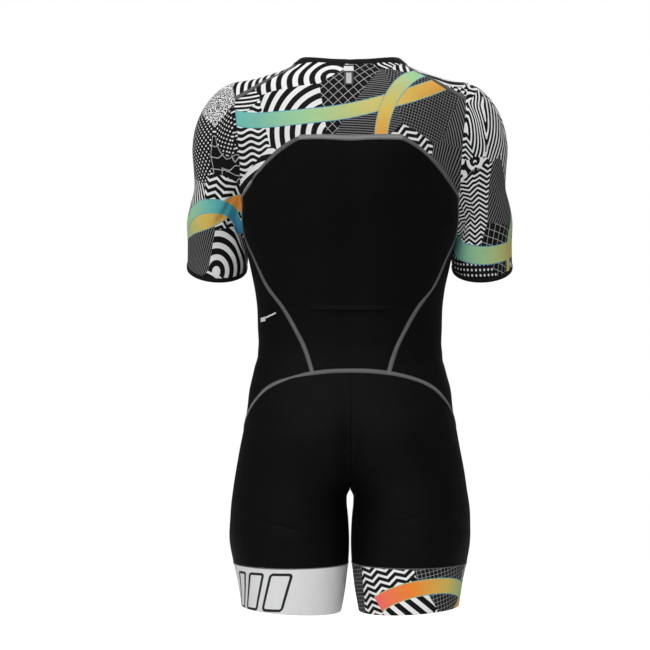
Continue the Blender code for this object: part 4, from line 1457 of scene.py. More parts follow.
def build_patchwork_group() -> None:
    """Patches of common black and white motifs, each turned and sized by its own patch.

    The patches are the cells of scattered points. In each cell the cloth is turned round the
    cell's point, and the cell's random number picks one motif.
    """
    g, given, result = node_group("patchwork", "Cloth:Vector Patch:Float", "Light:Float")
    cloth = given["Cloth"]
    cell = g.add("TexVoronoi", {"Vector": cloth, "Scale": 1.0 / given["Patch"]}, voronoi_dimensions="2D")
    pick, turn, size = g.parts(cell.outputs["Color"])
    middle = cell.outputs["Position"]
    turned = g.add("VectorRotate", {"Vector": cloth, "Center": middle, "Angle": turn * (2 * np.pi)},
                   rotation_type="Z_AXIS").outputs[0]
    x, y, _ = g.parts(turned)
    scale = size.times_plus(0.5, 0.8)

    def tooth(value: Value, period: float) -> Value:
        """Where a value lies within its period, from 0 to 1."""
        return (value / (scale * period)).fract()

    def lines(value: Value, period: float, share: float) -> Value:
        """1 on stripes that fill a share of each period."""
        return tooth(value, period) < share

    def from_middle(value: Value, period: float) -> Value:
        """How far a value lies from the middle of its period, up to 0.5."""
        return abs(tooth(value, period) - 0.5)

    ring = g.vector("LENGTH", g.vector("ADD", g.vector("SUBTRACT", turned, middle), (0.03, 0.05, 0)))
    wave = (x * 210.0).sine().times_plus(0.0026, y)
    peak = x.pingpong(0.014).times_plus(0.55, y)
    dot = (from_middle(x, 0.0072) ** 2.0 + from_middle(y, 0.0072) ** 2.0).root()
    triangles = from_middle(x, 0.0105).times_plus(2.0, 0.12) > tooth(y, 0.0105)
    mesh = lines(x, 0.0056, 0.13).most(lines(y, 0.0056, 0.13))
    plaid = lines(x, 0.0125, 0.09).most(lines(y, 0.0125, 0.09))
    # Each motif, 1 where it is light, and its share of the patches.
    motifs = ((lines(x, 0.0140, 0.46), 0.07), (mesh * 0.34, 0.14), (lines(ring, 0.0185, 0.48), 0.18),
              (lines(y, 0.0042, 0.42) * 0.22, 0.09), (lines(peak, 0.0090, 0.42), 0.09),
              (g.noise(turned, 420.0, 1.0) > 0.5, 0.03), (plaid * 0.5, 0.12),
              (lines(wave, 0.0100, 0.42), 0.09), ((dot < 0.24) * 0.9, 0.04),
              (lines(x, 0.0068, 0.42), 0.06), (1.0 - triangles, 0.03), (lines(ring, 0.0105, 0.44), 0.06))
    light, past = motifs[0]
    for motif, share in motifs[1:]:
        light = g.choose(pick > past, light, motif)
        past += share
    g.set(result, {"Light": light})


# The bows' colours, by the share of the way along a bow.
SPECTRUM = ((0.0, (0.95, 0.16, 0.14)), (0.2, (0.95, 0.27, 0.035)), (0.4, (0.78, 0.58, 0.13)),
            (0.58, (0.40, 0.68, 0.35)), (0.78, (0.10, 0.50, 0.52)), (1.0, (0.055, 0.26, 0.55)))
PIPING = 0.0011         # width of the piping on a bow's edges
PIPING_SHIFT = 0.45     # how far along the spectrum its colour is moved


def build_bow_group() -> None:
    """A printed bow: a band round a centre whose colour runs through the spectrum along it.

    The band holds the points whose distance from the centre is within half a width of the
    radius, and whose direction from it is within the reach of the turn.
    """
    g, given, result = node_group("bow", "Cloth:Vector Under:Color Centre:Vector Radius:Float Width:Float "
                                  "Turn:Float Reach:Float", "Color:Color")
    away = g.vector("SUBTRACT", given["Cloth"], given["Centre"])
    x, y, _ = g.parts(away)
    angle = (y.arctan2(x) - given["Turn"]).wrapped(np.pi, -np.pi)
    share = (angle / given["Reach"]).times_plus(0.5, 0.5)
    off = abs(g.vector("LENGTH", away) - given["Radius"])
    piping = off > given["Width"].times_plus(0.5, -PIPING)
    colours = g.add("ValToRGB", {0: piping.times_plus(PIPING_SHIFT, share).pingpong(1.0)})
    ramp_points = colours.color_ramp.elements
    for number, (position, colour) in enumerate(SPECTRUM):
        point = ramp_points[number] if number < 2 else ramp_points.new(position)
        point.position, point.color = position, (*colour, 1)
    mask = (off < given["Width"] * 0.5) * (abs(angle) < given["Reach"])
    g.set(result, {"Color": g.mix(mask, given["Under"], colours.outputs[0])})


def build_bar_group() -> None:
    """Outlined leaning bars: the outline of a rounded box in leaning coordinates."""
    g, given, result = node_group("bar", "Cloth:Vector Centre:Vector Half:Vector Lean:Float Round:Float "
                                  "Line:Float", "Mask:Float")
    x, y, _ = g.parts(g.vector("SUBTRACT", given["Cloth"], given["Centre"]))
    half_x, half_y, _ = g.parts(given["Half"])
    past_x = abs(x - y * given["Lean"]) - half_x + given["Round"]
    past_y = abs(y) - half_y + given["Round"]
    corner = (past_x.most(0.0) ** 2.0 + past_y.most(0.0) ** 2.0).root()
    distance = abs(corner + past_x.most(past_y).least(0.0) - given["Round"])
    g.set(result, {"Mask": distance < given["Line"]})


# Finishes -------------------------------------------------------------------------------

@dataclass(frozen=True)
class Finish:
    """A material and the constants of its shader."""

    name: str
    colour: Triple
    roughness: float = 0.6
    sheen: float = 0.0
    sheen_roughness: float = 0.4
    specular: float = 0.5
    metallic: float = 0.0
    spread: float = 0.12        # how much the roughness varies to each side
    least: float = 0.8          # how dark the painted shade makes the colour, as a share
    depth: float = 0.00004      # height of the relief

    def material(self) -> bpy.types.Material:
        """The material, made on first use."""
        if self.name in bpy.data.materials:
            return bpy.data.materials[self.name]
        material = bpy.data.materials.new(self.name)
        material.use_nodes = True
        shader = material.node_tree.nodes["Principled BSDF"]
        graph = Graph(material.node_tree)
        graph.set(shader, {"Base Color": (*self.colour, 1), "Roughness": self.roughness,
                           "Metallic": self.metallic, "Sheen Weight": self.sheen,
                           "Sheen Roughness": self.sheen_roughness, "Specular IOR Level": self.specular})
        self.dress(graph, shader)
        return material

    def dress(self, graph: Graph, shader: Node) -> None:
        """Colours the surface, darker where the shade is low (painted shade), and varies roughness and
        height.

        Args:
            graph: the material's tree.
            shader: its shader.
        """
        shade, height = self.relief(graph)
        # Painted shade: the colour darkens towards least where the shade is low, in the relief's hollows.
        colour = graph.add("VectorMath", {0: self.colour_of(graph), "Scale": graph.choose(
            shade, self.least, 1.0)}, operation="SCALE")
        rough = graph.choose(shade, self.roughness + self.spread, self.roughness - self.spread)
        bump = graph.add("Bump", {"Height": height, "Distance": self.depth, "Strength": 1.0})
        graph.set(shader, {"Base Color": colour.outputs[0], "Roughness": rough, "Normal": bump.outputs[0]})

    def colour_of(self, graph: Graph) -> object:
        """The finish's colour, or a socket that gives it."""
        return self.colour

    def relief(self, graph: Graph) -> tuple[Number, Number]:
        """The shade of the surface and its height, both from 0 to 1: even here."""
        return 1.0, 1.0


@dataclass(frozen=True)
class KnitFinish(Finish):
    """Plain dyed jersey."""

    wale: float = 0.00055
    course: float = 0.00065
    depth: float = 0.00008
    least: float = 0.75

    def relief(self, graph: Graph) -> tuple[Number, Number]:
        """Knit stitches."""
        knit = graph.group("knit", {"Cloth": graph.cloth(), "Wale": self.wale, "Course": self.course})
        return knit.outputs["Shade"], knit.outputs["Height"]


# The printed bows: centre across and up, radius, width, turn and reach.
BOWS = table("across up radius width turn reach", (
    (0.060, 0.285, 0.310, 0.025, -1.75, 1.25),
    (-0.215, -0.060, 0.165, 0.023, 0.55, 1.30),
    (0.560, 0.190, 0.240, 0.032, -1.90, 1.00),
    (0.400, -0.120, 0.130, 0.022, 0.60, 1.50),
    (-0.470, 0.175, 0.250, 0.030, -1.45, 1.10),
    (-0.620, -0.120, 0.150, 0.024, 0.40, 1.40),
    (0.090, -0.560, 0.170, 0.026, 1.85, 0.90),
    (-0.110, -0.590, 0.210, 0.030, 1.20, 0.90),
    (0.250, 0.700, 0.280, 0.040, 2.40, 1.30),
    (-0.190, 0.980, 0.330, 0.036, -1.20, 1.20),
))


@dataclass(frozen=True)
class PrintFinish(KnitFinish):
    """Jersey printed with patches of common motifs and bows of running colour."""

    patch: float = 0.095
    start: Triple = (0.24, 0.88, 0)     # where the patches' own plane begins
    dark: Triple = (0.0055, 0.0055, 0.0060)
    ground: float = 0.0     # how far the print is faded towards the white cloth

    def colour_of(self, graph: Graph) -> Socket:
        """The print's colour: patches first, then each bow over what is there.

        Args:
            graph: the material's tree.

        Returns:
            The colour, faded towards the white cloth by the ground.
        """
        cloth = graph.cloth()
        place = graph.vector("ADD", cloth, self.start)
        patches = graph.group("patchwork", {"Cloth": place, "Patch": self.patch})
        colour = graph.mix(patches.outputs[0], (*self.dark, 1), (*self.colour, 1))
        for across, up, radius, width, turn, reach in zip(*BOWS.values()):
            inputs = {"Cloth": cloth, "Under": colour, "Centre": (across, up, 0), "Radius": radius,
                      "Width": width, "Turn": turn, "Reach": reach}
            colour = graph.group("bow", inputs).outputs[0]
        if self.ground:
            colour = graph.mix(self.ground, colour, (*self.colour, 1))
        return colour


# Outlined bars on the white band: across, half width, up and half height on its cut.
BARS = table("across half_width up half_height", (
    (-0.112, 0.0165, 0.000, 0.0285), (-0.070, 0.0125, 0.000, 0.0285), (-0.038, 0.0085, 0.000, 0.0285),
))


@dataclass(frozen=True)
class BandFinish(KnitFinish):
    """White jersey with leaning outlined bars."""

    ink: Triple = (0.008, 0.008, 0.009)
    lean: float = -0.32
    line: float = 0.0022
    rounding: float = 0.3       # the corners' radius, as a share of a bar's half width

    def colour_of(self, graph: Graph) -> Socket:
        """White, with the ink on the bars' outlines.

        Args:
            graph: the material's tree.

        Returns:
            The colour.
        """
        cloth = graph.cloth()
        colour = (*self.colour, 1)
        for across, half_width, up, half_height in zip(*BARS.values()):
            inputs = {"Cloth": cloth, "Centre": (across, up, 0), "Half": (half_width, half_height, 0),
                      "Lean": self.lean, "Round": half_width * self.rounding, "Line": self.line}
            colour = graph.mix(graph.group("bar", inputs).outputs[0], colour, (*self.ink, 1))
        return colour


@dataclass(frozen=True)
class RibFinish(Finish):
    """Ribbed tape: fine ribs across its length, and a finer weave between them."""

    pitch: float = 0.0009
    depth: float = 0.00015
    slant: float = 0.0
    least: float = 0.6
    weave_scale: float = 1500.0
    weave: float = 0.35     # the weave's share of the shade

    def relief(self, graph: Graph) -> tuple[Number, Number]:
        """Ribs: a wave along the tape, with painted shade in the troughs and random flecks in its shade.

        Args:
            graph: the material's tree.

        Returns:
            The shade and the height.
        """
        cloth = graph.cloth()
        x, y, _ = graph.parts(cloth)
        rib = (x.times_plus(self.slant, y) * (2 * np.pi / self.pitch)).sine().times_plus(0.5, 0.5)
        weave = graph.noise(cloth, self.weave_scale) * self.weave
        # The shade is painted darker in the troughs between ribs, with random weave flecks mixed in.
        return rib.times_plus(1 - self.weave, weave), rib


@dataclass(frozen=True)
class FleckFinish(Finish):
    """Thread, moulded plastic or paint: fine flecks on the object's own coordinates."""

    scale: float = 2500.0

    def relief(self, graph: Graph) -> tuple[Number, Number]:
        """Flecks."""
        fleck = graph.noise(graph.add("TexCoord").outputs["Object"], self.scale)
        return fleck, fleck


@dataclass(frozen=True)
class FloorFinish(FleckFinish):
    """The studio's floor, which the camera sees brighter than it lights the suit."""

    glow: float = 0.7

    def dress(self, graph: Graph, shader: Node) -> None:
        """Flecks, and a glow for the camera's own rays."""
        super().dress(graph, shader)
        glow = graph.math("MULTIPLY", graph.add("LightPath").outputs["Is Camera Ray"], self.glow)
        graph.set(shader, {"Emission Color": (1, 1, 1, 1), "Emission Strength": glow})


@dataclass(frozen=True)
class LabelFinish(RibFinish):
    """The woven label: a black tape with a white field, and a pale field lower down."""

    fields: tuple = (((-0.0109, -0.0028), (0.80, 0.80, 0.80)), ((-0.0320, -0.0141), (0.50, 0.50, 0.51)))
    half_width: float = 0.0041

    def colour_of(self, graph: Graph) -> Socket:
        """The tape's colour by the height on it, and in the lower field within its margins too.

        Args:
            graph: the material's tree.

        Returns:
            The colour.
        """
        x, y, _ = graph.parts(graph.cloth())
        colour = (*self.colour, 1)
        for number, ((low, high), tint) in enumerate(self.fields):
            mask = (y > low) * (y < high)
            if number:
                mask = mask * (abs(x) < self.half_width)
            colour = graph.mix(mask, colour, (*tint, 1))
        return colour


BLACK = KnitFinish("black jersey", (0.0026, 0.0026, 0.0026), 0.50, sheen=0.006, sheen_roughness=0.35,
                   specular=0.06)
WHITE = BandFinish("white jersey", (0.80, 0.80, 0.81), 0.62, sheen=0.10, least=0.86, specular=0.3)
PRINT = PrintFinish("printed jersey", (0.90, 0.90, 0.90), 0.62, sheen=0.02, least=0.90, specular=0.10)
REVERSE = PrintFinish("print from inside", (0.72, 0.72, 0.73), 0.75, sheen=0.05, least=0.88, ground=0.82,
                      specular=0.2)
TAPE = RibFinish("black binding", (0.0050, 0.0050, 0.0053), 0.62, sheen=0.03, specular=0.15)
COVER = RibFinish("seam cover", (0.115, 0.115, 0.117), 0.7, pitch=0.00095, slant=0.35, least=0.35,
                  specular=0.3)
THREAD = FleckFinish("grey thread", (0.20, 0.20, 0.203), 0.55, sheen=0.05)
# The paler thread and seam cover are a painted highlight: lighter copies of the seam finishes for the top
# seam, where it catches more light.
HIGHLIGHT_THREAD = FleckFinish("pale thread", (0.46, 0.46, 0.46), 0.5, specular=0.3)
HIGHLIGHT_COVER = RibFinish("pale seam cover", (0.24, 0.24, 0.242), 0.7, pitch=0.0019, slant=0.2, least=0.3,
                       specular=0.3)
BLACK_THREAD = FleckFinish("black thread", (0.008, 0.008, 0.0085), 0.5, specular=0.25)
SATIN = LabelFinish("woven label", (0.012, 0.012, 0.013), 0.45, pitch=0.0004, depth=0.00004, least=0.8)
COIL = FleckFinish("zip coil", (0.020, 0.020, 0.021), 0.38, scale=900.0)
PAINT = FleckFinish("black painted metal", (0.030, 0.030, 0.032), 0.32, metallic=0.2, scale=1800.0,
                    depth=0.00001)
TRANSFER = FleckFinish("pale transfer", (0.72, 0.72, 0.73), 0.4, scale=1200.0)
FLOOR = FloorFinish("pale floor", (0.80, 0.80, 0.80), 0.8, scale=40.0, depth=0.0001, least=0.98)


class Dye(enum.Enum):
    """A cloth's outer and inner finish, and the record's slot of it."""

    BLACK = (BLACK, BLACK, "black_cloth")
    WHITE = (WHITE, WHITE, "white_cloth")
    PRINT = (PRINT, REVERSE, "print_cloth")


# Sub-assemblies -------------------------------------------------------------------------

TRUNK_EDGES = (Edge.TRUNK_SEAM,) * 4


@dataclass
class Back:
    """The printed yoke, the black panel under it and the pocket on the panel."""

    pattern: Pattern
    pocket_lift: float = 0.0011
    pocket_edge: Pair = (0.0010, 0.0090)
    lip: float = 0.0028             # how far the lip of the pocket's mouth rolls out
    lip_half: float = 0.070         # over this much of its width to each side
    lip_places: Pair = (0.0085, 0.0105)  # where it is highest, and where it ends
    crease_rows: tuple[int, int] = (82, 91)             # the panel's rows above the mouth
    lip_rows: tuple[int, int] = (0, 5)                  # and the pocket's at its mouth
    finer: int = 5                  # are split into this many

    def build(self) -> None:
        """Makes the three pieces."""
        figure = self.pattern.figure
        yoke = ClothPiece("yoke_cloth", "back_yoke", self.pattern.yoke(), TRUNK_EDGES)
        yoke.make(figure, Dye.PRINT)
        panel = ClothPiece("panel_cloth", "back_panel", self.pattern.panel(), TRUNK_EDGES)
        panel.refined(*self.crease_rows, self.finer).make(figure, Dye.BLACK)
        self.pocket(panel).make(figure, Dye.BLACK)

    def pocket(self, panel: ClothPiece) -> ClothPiece:
        """The pocket: the panel's lower rows moved out, with a rolled lip below its upper edge.

        Args:
            panel: the back panel.

        Returns:
            The pocket, whose sides and lower edge end under the panel's seams.
        """
        rows = self.pattern.pocket_rows + 1
        cut = replace(panel, shape=panel.shape[-rows:], flat=panel.flat[-rows:])
        cut = cut.refined(*self.lip_rows, self.finer)
        grid = cut.shape
        down, across = lengths(grid), lengths(grid, 1)
        to_side = np.minimum(across, across[:, -1:] - across)
        to_edge = np.minimum(to_side, down[-1:] - down)
        lift = self.pocket_lift * ramp(*self.pocket_edge, to_edge)
        lens = np.sqrt(np.clip(1 - ((across - across[:, -1:] / 2) / self.lip_half) ** 2, 0, 1))
        top, end = self.lip_places
        lift += self.lip * lens * ramp(0, top, down) * (1 - ramp(top, end, down))
        shape = grid + lift[..., None] * grid_normals(grid)
        edges = (Edge.OPEN, Edge.OWN_SEAM, Edge.OWN_SEAM, Edge.OWN_SEAM)
        return replace(cut, name="pocket_cloth", node="back_pocket", shape=shape, edges=edges, held="laid")


@dataclass
class Sides:
    """The black side panels and the printed fronts."""

    pattern: Pattern
    left_print: Pair = (0.26, 0.72)
    right_print: Pair = (-0.26, 0.78)

    def build(self) -> None:
        """Makes the four pieces."""
        figure = self.pattern.figure
        side = ClothPiece("side_cloth_left", "side_left", self.pattern.side(), TRUNK_EDGES)
        for piece in (side, side.twin()):
            piece.make(figure, Dye.BLACK)
        edges = (Edge.TRUNK_SEAM, Edge.TRUNK_SEAM, Edge.TRUNK_SEAM, Edge.OPEN)
        front = ClothPiece("front_cloth_left", "front_left", self.pattern.front(), edges)
        for piece, place in ((front, self.left_print), (front.twin(), self.right_print)):
            piece.make(figure, Dye.PRINT, place)


@dataclass
class Sleeves:
    """The printed sleeves, which are closed by a seam under the arm, and their bindings."""

    pattern: Pattern
    left_print: Pair = (0.50, 0.0)
    right_print: Pair = (-0.50, 0.0)

    def build(self) -> None:
        """Makes both sleeves with their bindings."""
        grid, cuff = self.pattern.sleeve()
        edges = (Edge.TRUNK_SEAM, Edge.OWN_SEAM, Edge.OWN_SEAM, Edge.OWN_SEAM)
        sleeve = ClothPiece("sleeve_cloth_left", "sleeve_left", grid, edges)
        for piece, place in ((sleeve, self.left_print), (sleeve.twin(), self.right_print)):
            piece.make(self.pattern.figure, Dye.PRINT, place)
        for side, rows in (("left", cuff), ("right", mirrored(cuff))):
            Binding(f"cuff_binding_{side}", f"cuff_{side}", rows[::-1], ring=True).build()


@dataclass
class Legs:
    """The black legs, the white left band and the printed right band."""

    pattern: Pattern
    right_print: Pair = (0.0, -0.40)
    crease_rows: tuple[int, int] = (52, 63)     # the leg's rows under the seat
    finer: int = 3                              # are split into this many

    def build(self) -> None:
        """Makes both legs with their bands."""
        figure = self.pattern.figure
        grid, band_grid = self.pattern.leg()
        own = Edge.OWN_SEAM
        leg = ClothPiece("leg_cloth_left", "leg_left", grid, (Edge.TRUNK_SEAM, own, own, own))
        leg = leg.refined(*self.crease_rows, self.finer)
        for piece in (leg, leg.twin()):
            piece.make(figure, Dye.BLACK)
        band = ClothPiece("band_cloth_left", "leg_band_left", band_grid, (own, Edge.OPEN, own, own))
        band.make(figure, Dye.WHITE)
        band.twin().make(figure, Dye.PRINT, self.right_print)
        line, out = band_grid[0, :-1], grid_normals(band_grid)[0, :-1]
        for side, name in ((1, "left"), (-1, "right")):
            order = slice(None, None, side)
            route = Route(line[order] * (side, 1, 1), out[order] * (side, 1, 1), closed=True)
            FlatlockSeam(f"band_seam_{name}", route, width=0.0018, rise=0.0002, pitch=0.0014,
                         thread=0.00012).build()


@dataclass
class Binding:
    """A folded elastic binding on an edge: a flat, rounded section carried along it."""

    name: str
    node: str
    rows: Array                     # the binding's edge, then its seam
    ring: bool = False
    wall: float = 0.0021
    over: float = 0.0003            # how far it reaches over the seam and the edge
    sunk: float = 0.00035           # its middle lies this far inside the cloth's face
    cut_wider: float = 1.14         # the tape narrows by this when it is stretched and sewn on
    corners: int = 24
    roundness: float = 0.5
    spacing: float = 0.003
    stitch: float = 0.0030
    stitch_rows: Pair = (0.26, 0.44)
    thread: float = 0.00022

    def build(self) -> None:
        """Makes the binding and its two rows of stitches."""
        edge, seam = self.rows
        middle = Route((edge + seam) / 2, self.outwards(), self.ring)
        hand = np.sign(((edge - seam) * middle.directions()[1]).sum())     # the side that the edge is on
        route = middle.even(self.spacing)
        width = self.widths(len(route.points))
        side, out = superellipse(-turns(self.corners), self.roundness)
        points = route.carry(hand * side * width / 2, out * self.wall / 2 - self.sunk)
        girth = float(width.mean()) + self.wall
        binding = route.strip(self.name, points if hand > 0 else points[:, ::-1],
                              np.linspace(0, 2 * girth, self.corners + 1), ring=True)
        if self.ring:
            binding.modifiers.new("weld", "WELD").merge_threshold = WELD
        belong(binding, "binding", TAPE, nodes=(self.node,))
        girth * self.cut_wider
        route.length()
        for number, share in enumerate(self.stitch_rows):
            shift = hand * (share - 0.5) * width
            row = route.carry(shift, np.full_like(shift, self.wall / 2 - self.sunk))[:, 0]
            line = Route(row, route.out, self.ring).stitched(self.stitch, self.thread)
            line.thread(f"{self.name}_stitch_{number}", self.thread, BLACK_THREAD)

    def widths(self, count: int) -> Array:
        """The binding's width at even places along it, as a column.

        Args:
            count: how many places.

        Returns:
            Widths in metres, read between those of the rows.
        """
        edge, seam = self.rows
        if self.ring:
            edge, seam = (np.vstack([row, row[:1]]) for row in (edge, seam))
        reach = lengths((edge + seam) / 2)
        places = np.linspace(0, reach[-1], count + self.ring)[:count]
        return np.interp(places, reach, np.linalg.norm(edge - seam, axis=-1))[:, None] + 2 * self.over

    def outwards(self) -> Array:
        """Outward directions: along the binding crossed with the way down from edge to seam."""
        edge, seam = self.rows
        along = np.gradient((edge + seam) / 2, axis=0)
        if self.ring:
            along = np.roll(edge, -1, 0) - np.roll(edge, 1, 0)
        return unit(np.cross(along, seam - edge))


@dataclass
class FlatlockSeam:
    """A flat seam: a low dome of cover threads along the seam, crossed by thicker ones."""

    name: str
    route: Route
    width: float = 0.0078
    rise: float = 0.00050
    pitch: float = 0.0019
    thread: float = 0.00024
    cover: float = 0.0003
    columns: int = 9
    spacing: float = 0.002
    edge_sunk: float = 0.00025      # its edges lie this far inside the cloth's face
    thread_low: float = 0.25        # the lattice's height at its edges, as a share of the rise
    thread_high: float = 0.85       # how much higher its middle is, as a share of the rise
    thread_out: float = 0.43        # how far it reaches to each side, as a share of the width
    pale: bool = False              # whether cover and threads take the paler finishes, a painted highlight

    def build(self) -> None:
        """Makes the seam's cover and its two lattices of thread."""
        route = self.route.even(self.spacing)
        share = np.linspace(-1, 1, self.columns)
        height = self.rise * (1 - share ** 4) - self.edge_sunk * share ** 8
        # The paler finishes paint the highlight that the top seam catches.
        cover_finish, thread_finish = (HIGHLIGHT_COVER, HIGHLIGHT_THREAD) if self.pale else (COVER, THREAD)
        across = share * self.width / 2
        cover = route.strip(self.name, route.carry(across, height), across)
        thickened(cover, self.cover)
        belong(cover, "binding", cover_finish)
        line = route.shifted(0, self.rise * self.thread_low)
        for number in (0, 1):
            lattice = line.zigzag(self.pitch, self.width * self.thread_out,
                                  self.rise * self.thread_high, number)
            lattice.thread(f"{self.name}_thread_{number}", self.thread, thread_finish)


@dataclass
class Seams:
    """The suit's flatlock seams."""

    pattern: Pattern
    rounds: int = 8     # how often the panel's outline is smoothed

    def build(self) -> None:
        """Makes the seams round the back panel, the waist, the fronts and the shoulders."""
        s, outward = self.pattern.lines, self.pattern.figure.outward
        side = self.pattern.panel_side()
        outline = smoothed(follow(mirrored(side), s["panel_top"], side), self.rounds)
        waist = follow(s["waist_back"], s["waist_side"], s["waist_front"])
        ring = follow(waist, mirrored(waist))[:-1]
        routes = {"panel_seam": (outline, False), "waist_seam": (ring, True)}
        for sign, name in ((1, "left"), (-1, "right")):
            routes[f"front_seam_{name}"] = (s["front_side"] * (sign, 1, 1), False)
            routes[f"shoulder_seam_{name}"] = (s["shoulder"] * (sign, 1, 1), False)
        for name, (line, closed) in routes.items():
            FlatlockSeam(name, Route(line, outward(line), closed)).build()
        # The panel's top seam is wider and painted lighter, standing for the light that it catches.
        top = smoothed(s["panel_top"], self.rounds)
        FlatlockSeam("panel_top_seam", Route(top, outward(top)), width=0.0090, rise=0.0007, thread=0.0003,
                     pale=True).build()


@dataclass
class NeckLabel:
    """The woven label, turned down from the neck binding over the yoke."""

    figure: Figure
    width: float = 0.0155
    middle: float = 0.0030          # it lies this far left of the suit's middle
    top: float = -0.0205
    end: float = -0.0547
    lift: float = 0.0013
    curl: float = 0.0010
    curl_from: float = 0.6          # the share of its length at which it starts to curl up
    corner: float = 0.0030
    wall: float = 0.0007
    columns: int = 15
    rows: int = 49

    def build(self) -> None:
        """Makes the label, with two round corners at its lower end."""
        height = np.linspace(self.top, self.end, self.rows)
        to_end = np.maximum(self.corner - (height - self.end), 0)
        half = self.width / 2 - self.corner + np.sqrt(np.maximum(self.corner ** 2 - to_end ** 2, 0))
        across = np.linspace(-1, 1, self.columns)[None] * half[:, None]
        grid = self.figure.drop(across + self.middle, height[:, None] + 0 * across, 1)
        curl = self.curl * ramp(self.curl_from, 1, np.linspace(0, 1, self.rows))[:, None]
        lift = self.lift + curl * (1 - 0.5 * (across / self.width) ** 2)
        grid = grid + lift[..., None] * grid_normals(grid)
        flat = np.stack([across, height[:, None] - self.top + 0 * across], -1)
        label = grid_object("label_tape", grid, flat)
        thickened(label, self.wall)
        belong(label, "label", SATIN, nodes=("neck_label",))
        self.top - self.end


@dataclass
class Transfer:
    """A plain transfer on the left side panel: a slanted block, and a thin bar that runs on from it."""

    figure: Figure
    lift: float = 0.0004
    corners: tuple = (((142, -416), (134, -413.5), (142, -422.5), (134, -420.5)),
                      ((133.5, -414.0), (117.5, -406.5), (133.5, -416.8), (117.5, -409.0)))

    def build(self) -> None:
        """Lays both on the panel: each is a bilinear patch between its corners."""
        share = np.linspace(0, 1, 9)
        for number, corners in enumerate(np.array(self.corners) / 1000):
            rows = [corners[k] + share[:, None] * (corners[k + 1] - corners[k]) for k in (0, 2)]
            place = rows[0] + share[:, None, None] * (rows[1] - rows[0])
            grid = self.figure.drop(place[..., 0], place[..., 1], 1)
            grid = grid + (self.lift + swell(grid))[..., None] * self.figure.outward(grid)
            belong(grid_object(f"side_transfer_{number}", grid[:, ::-1]), "label", TRANSFER)


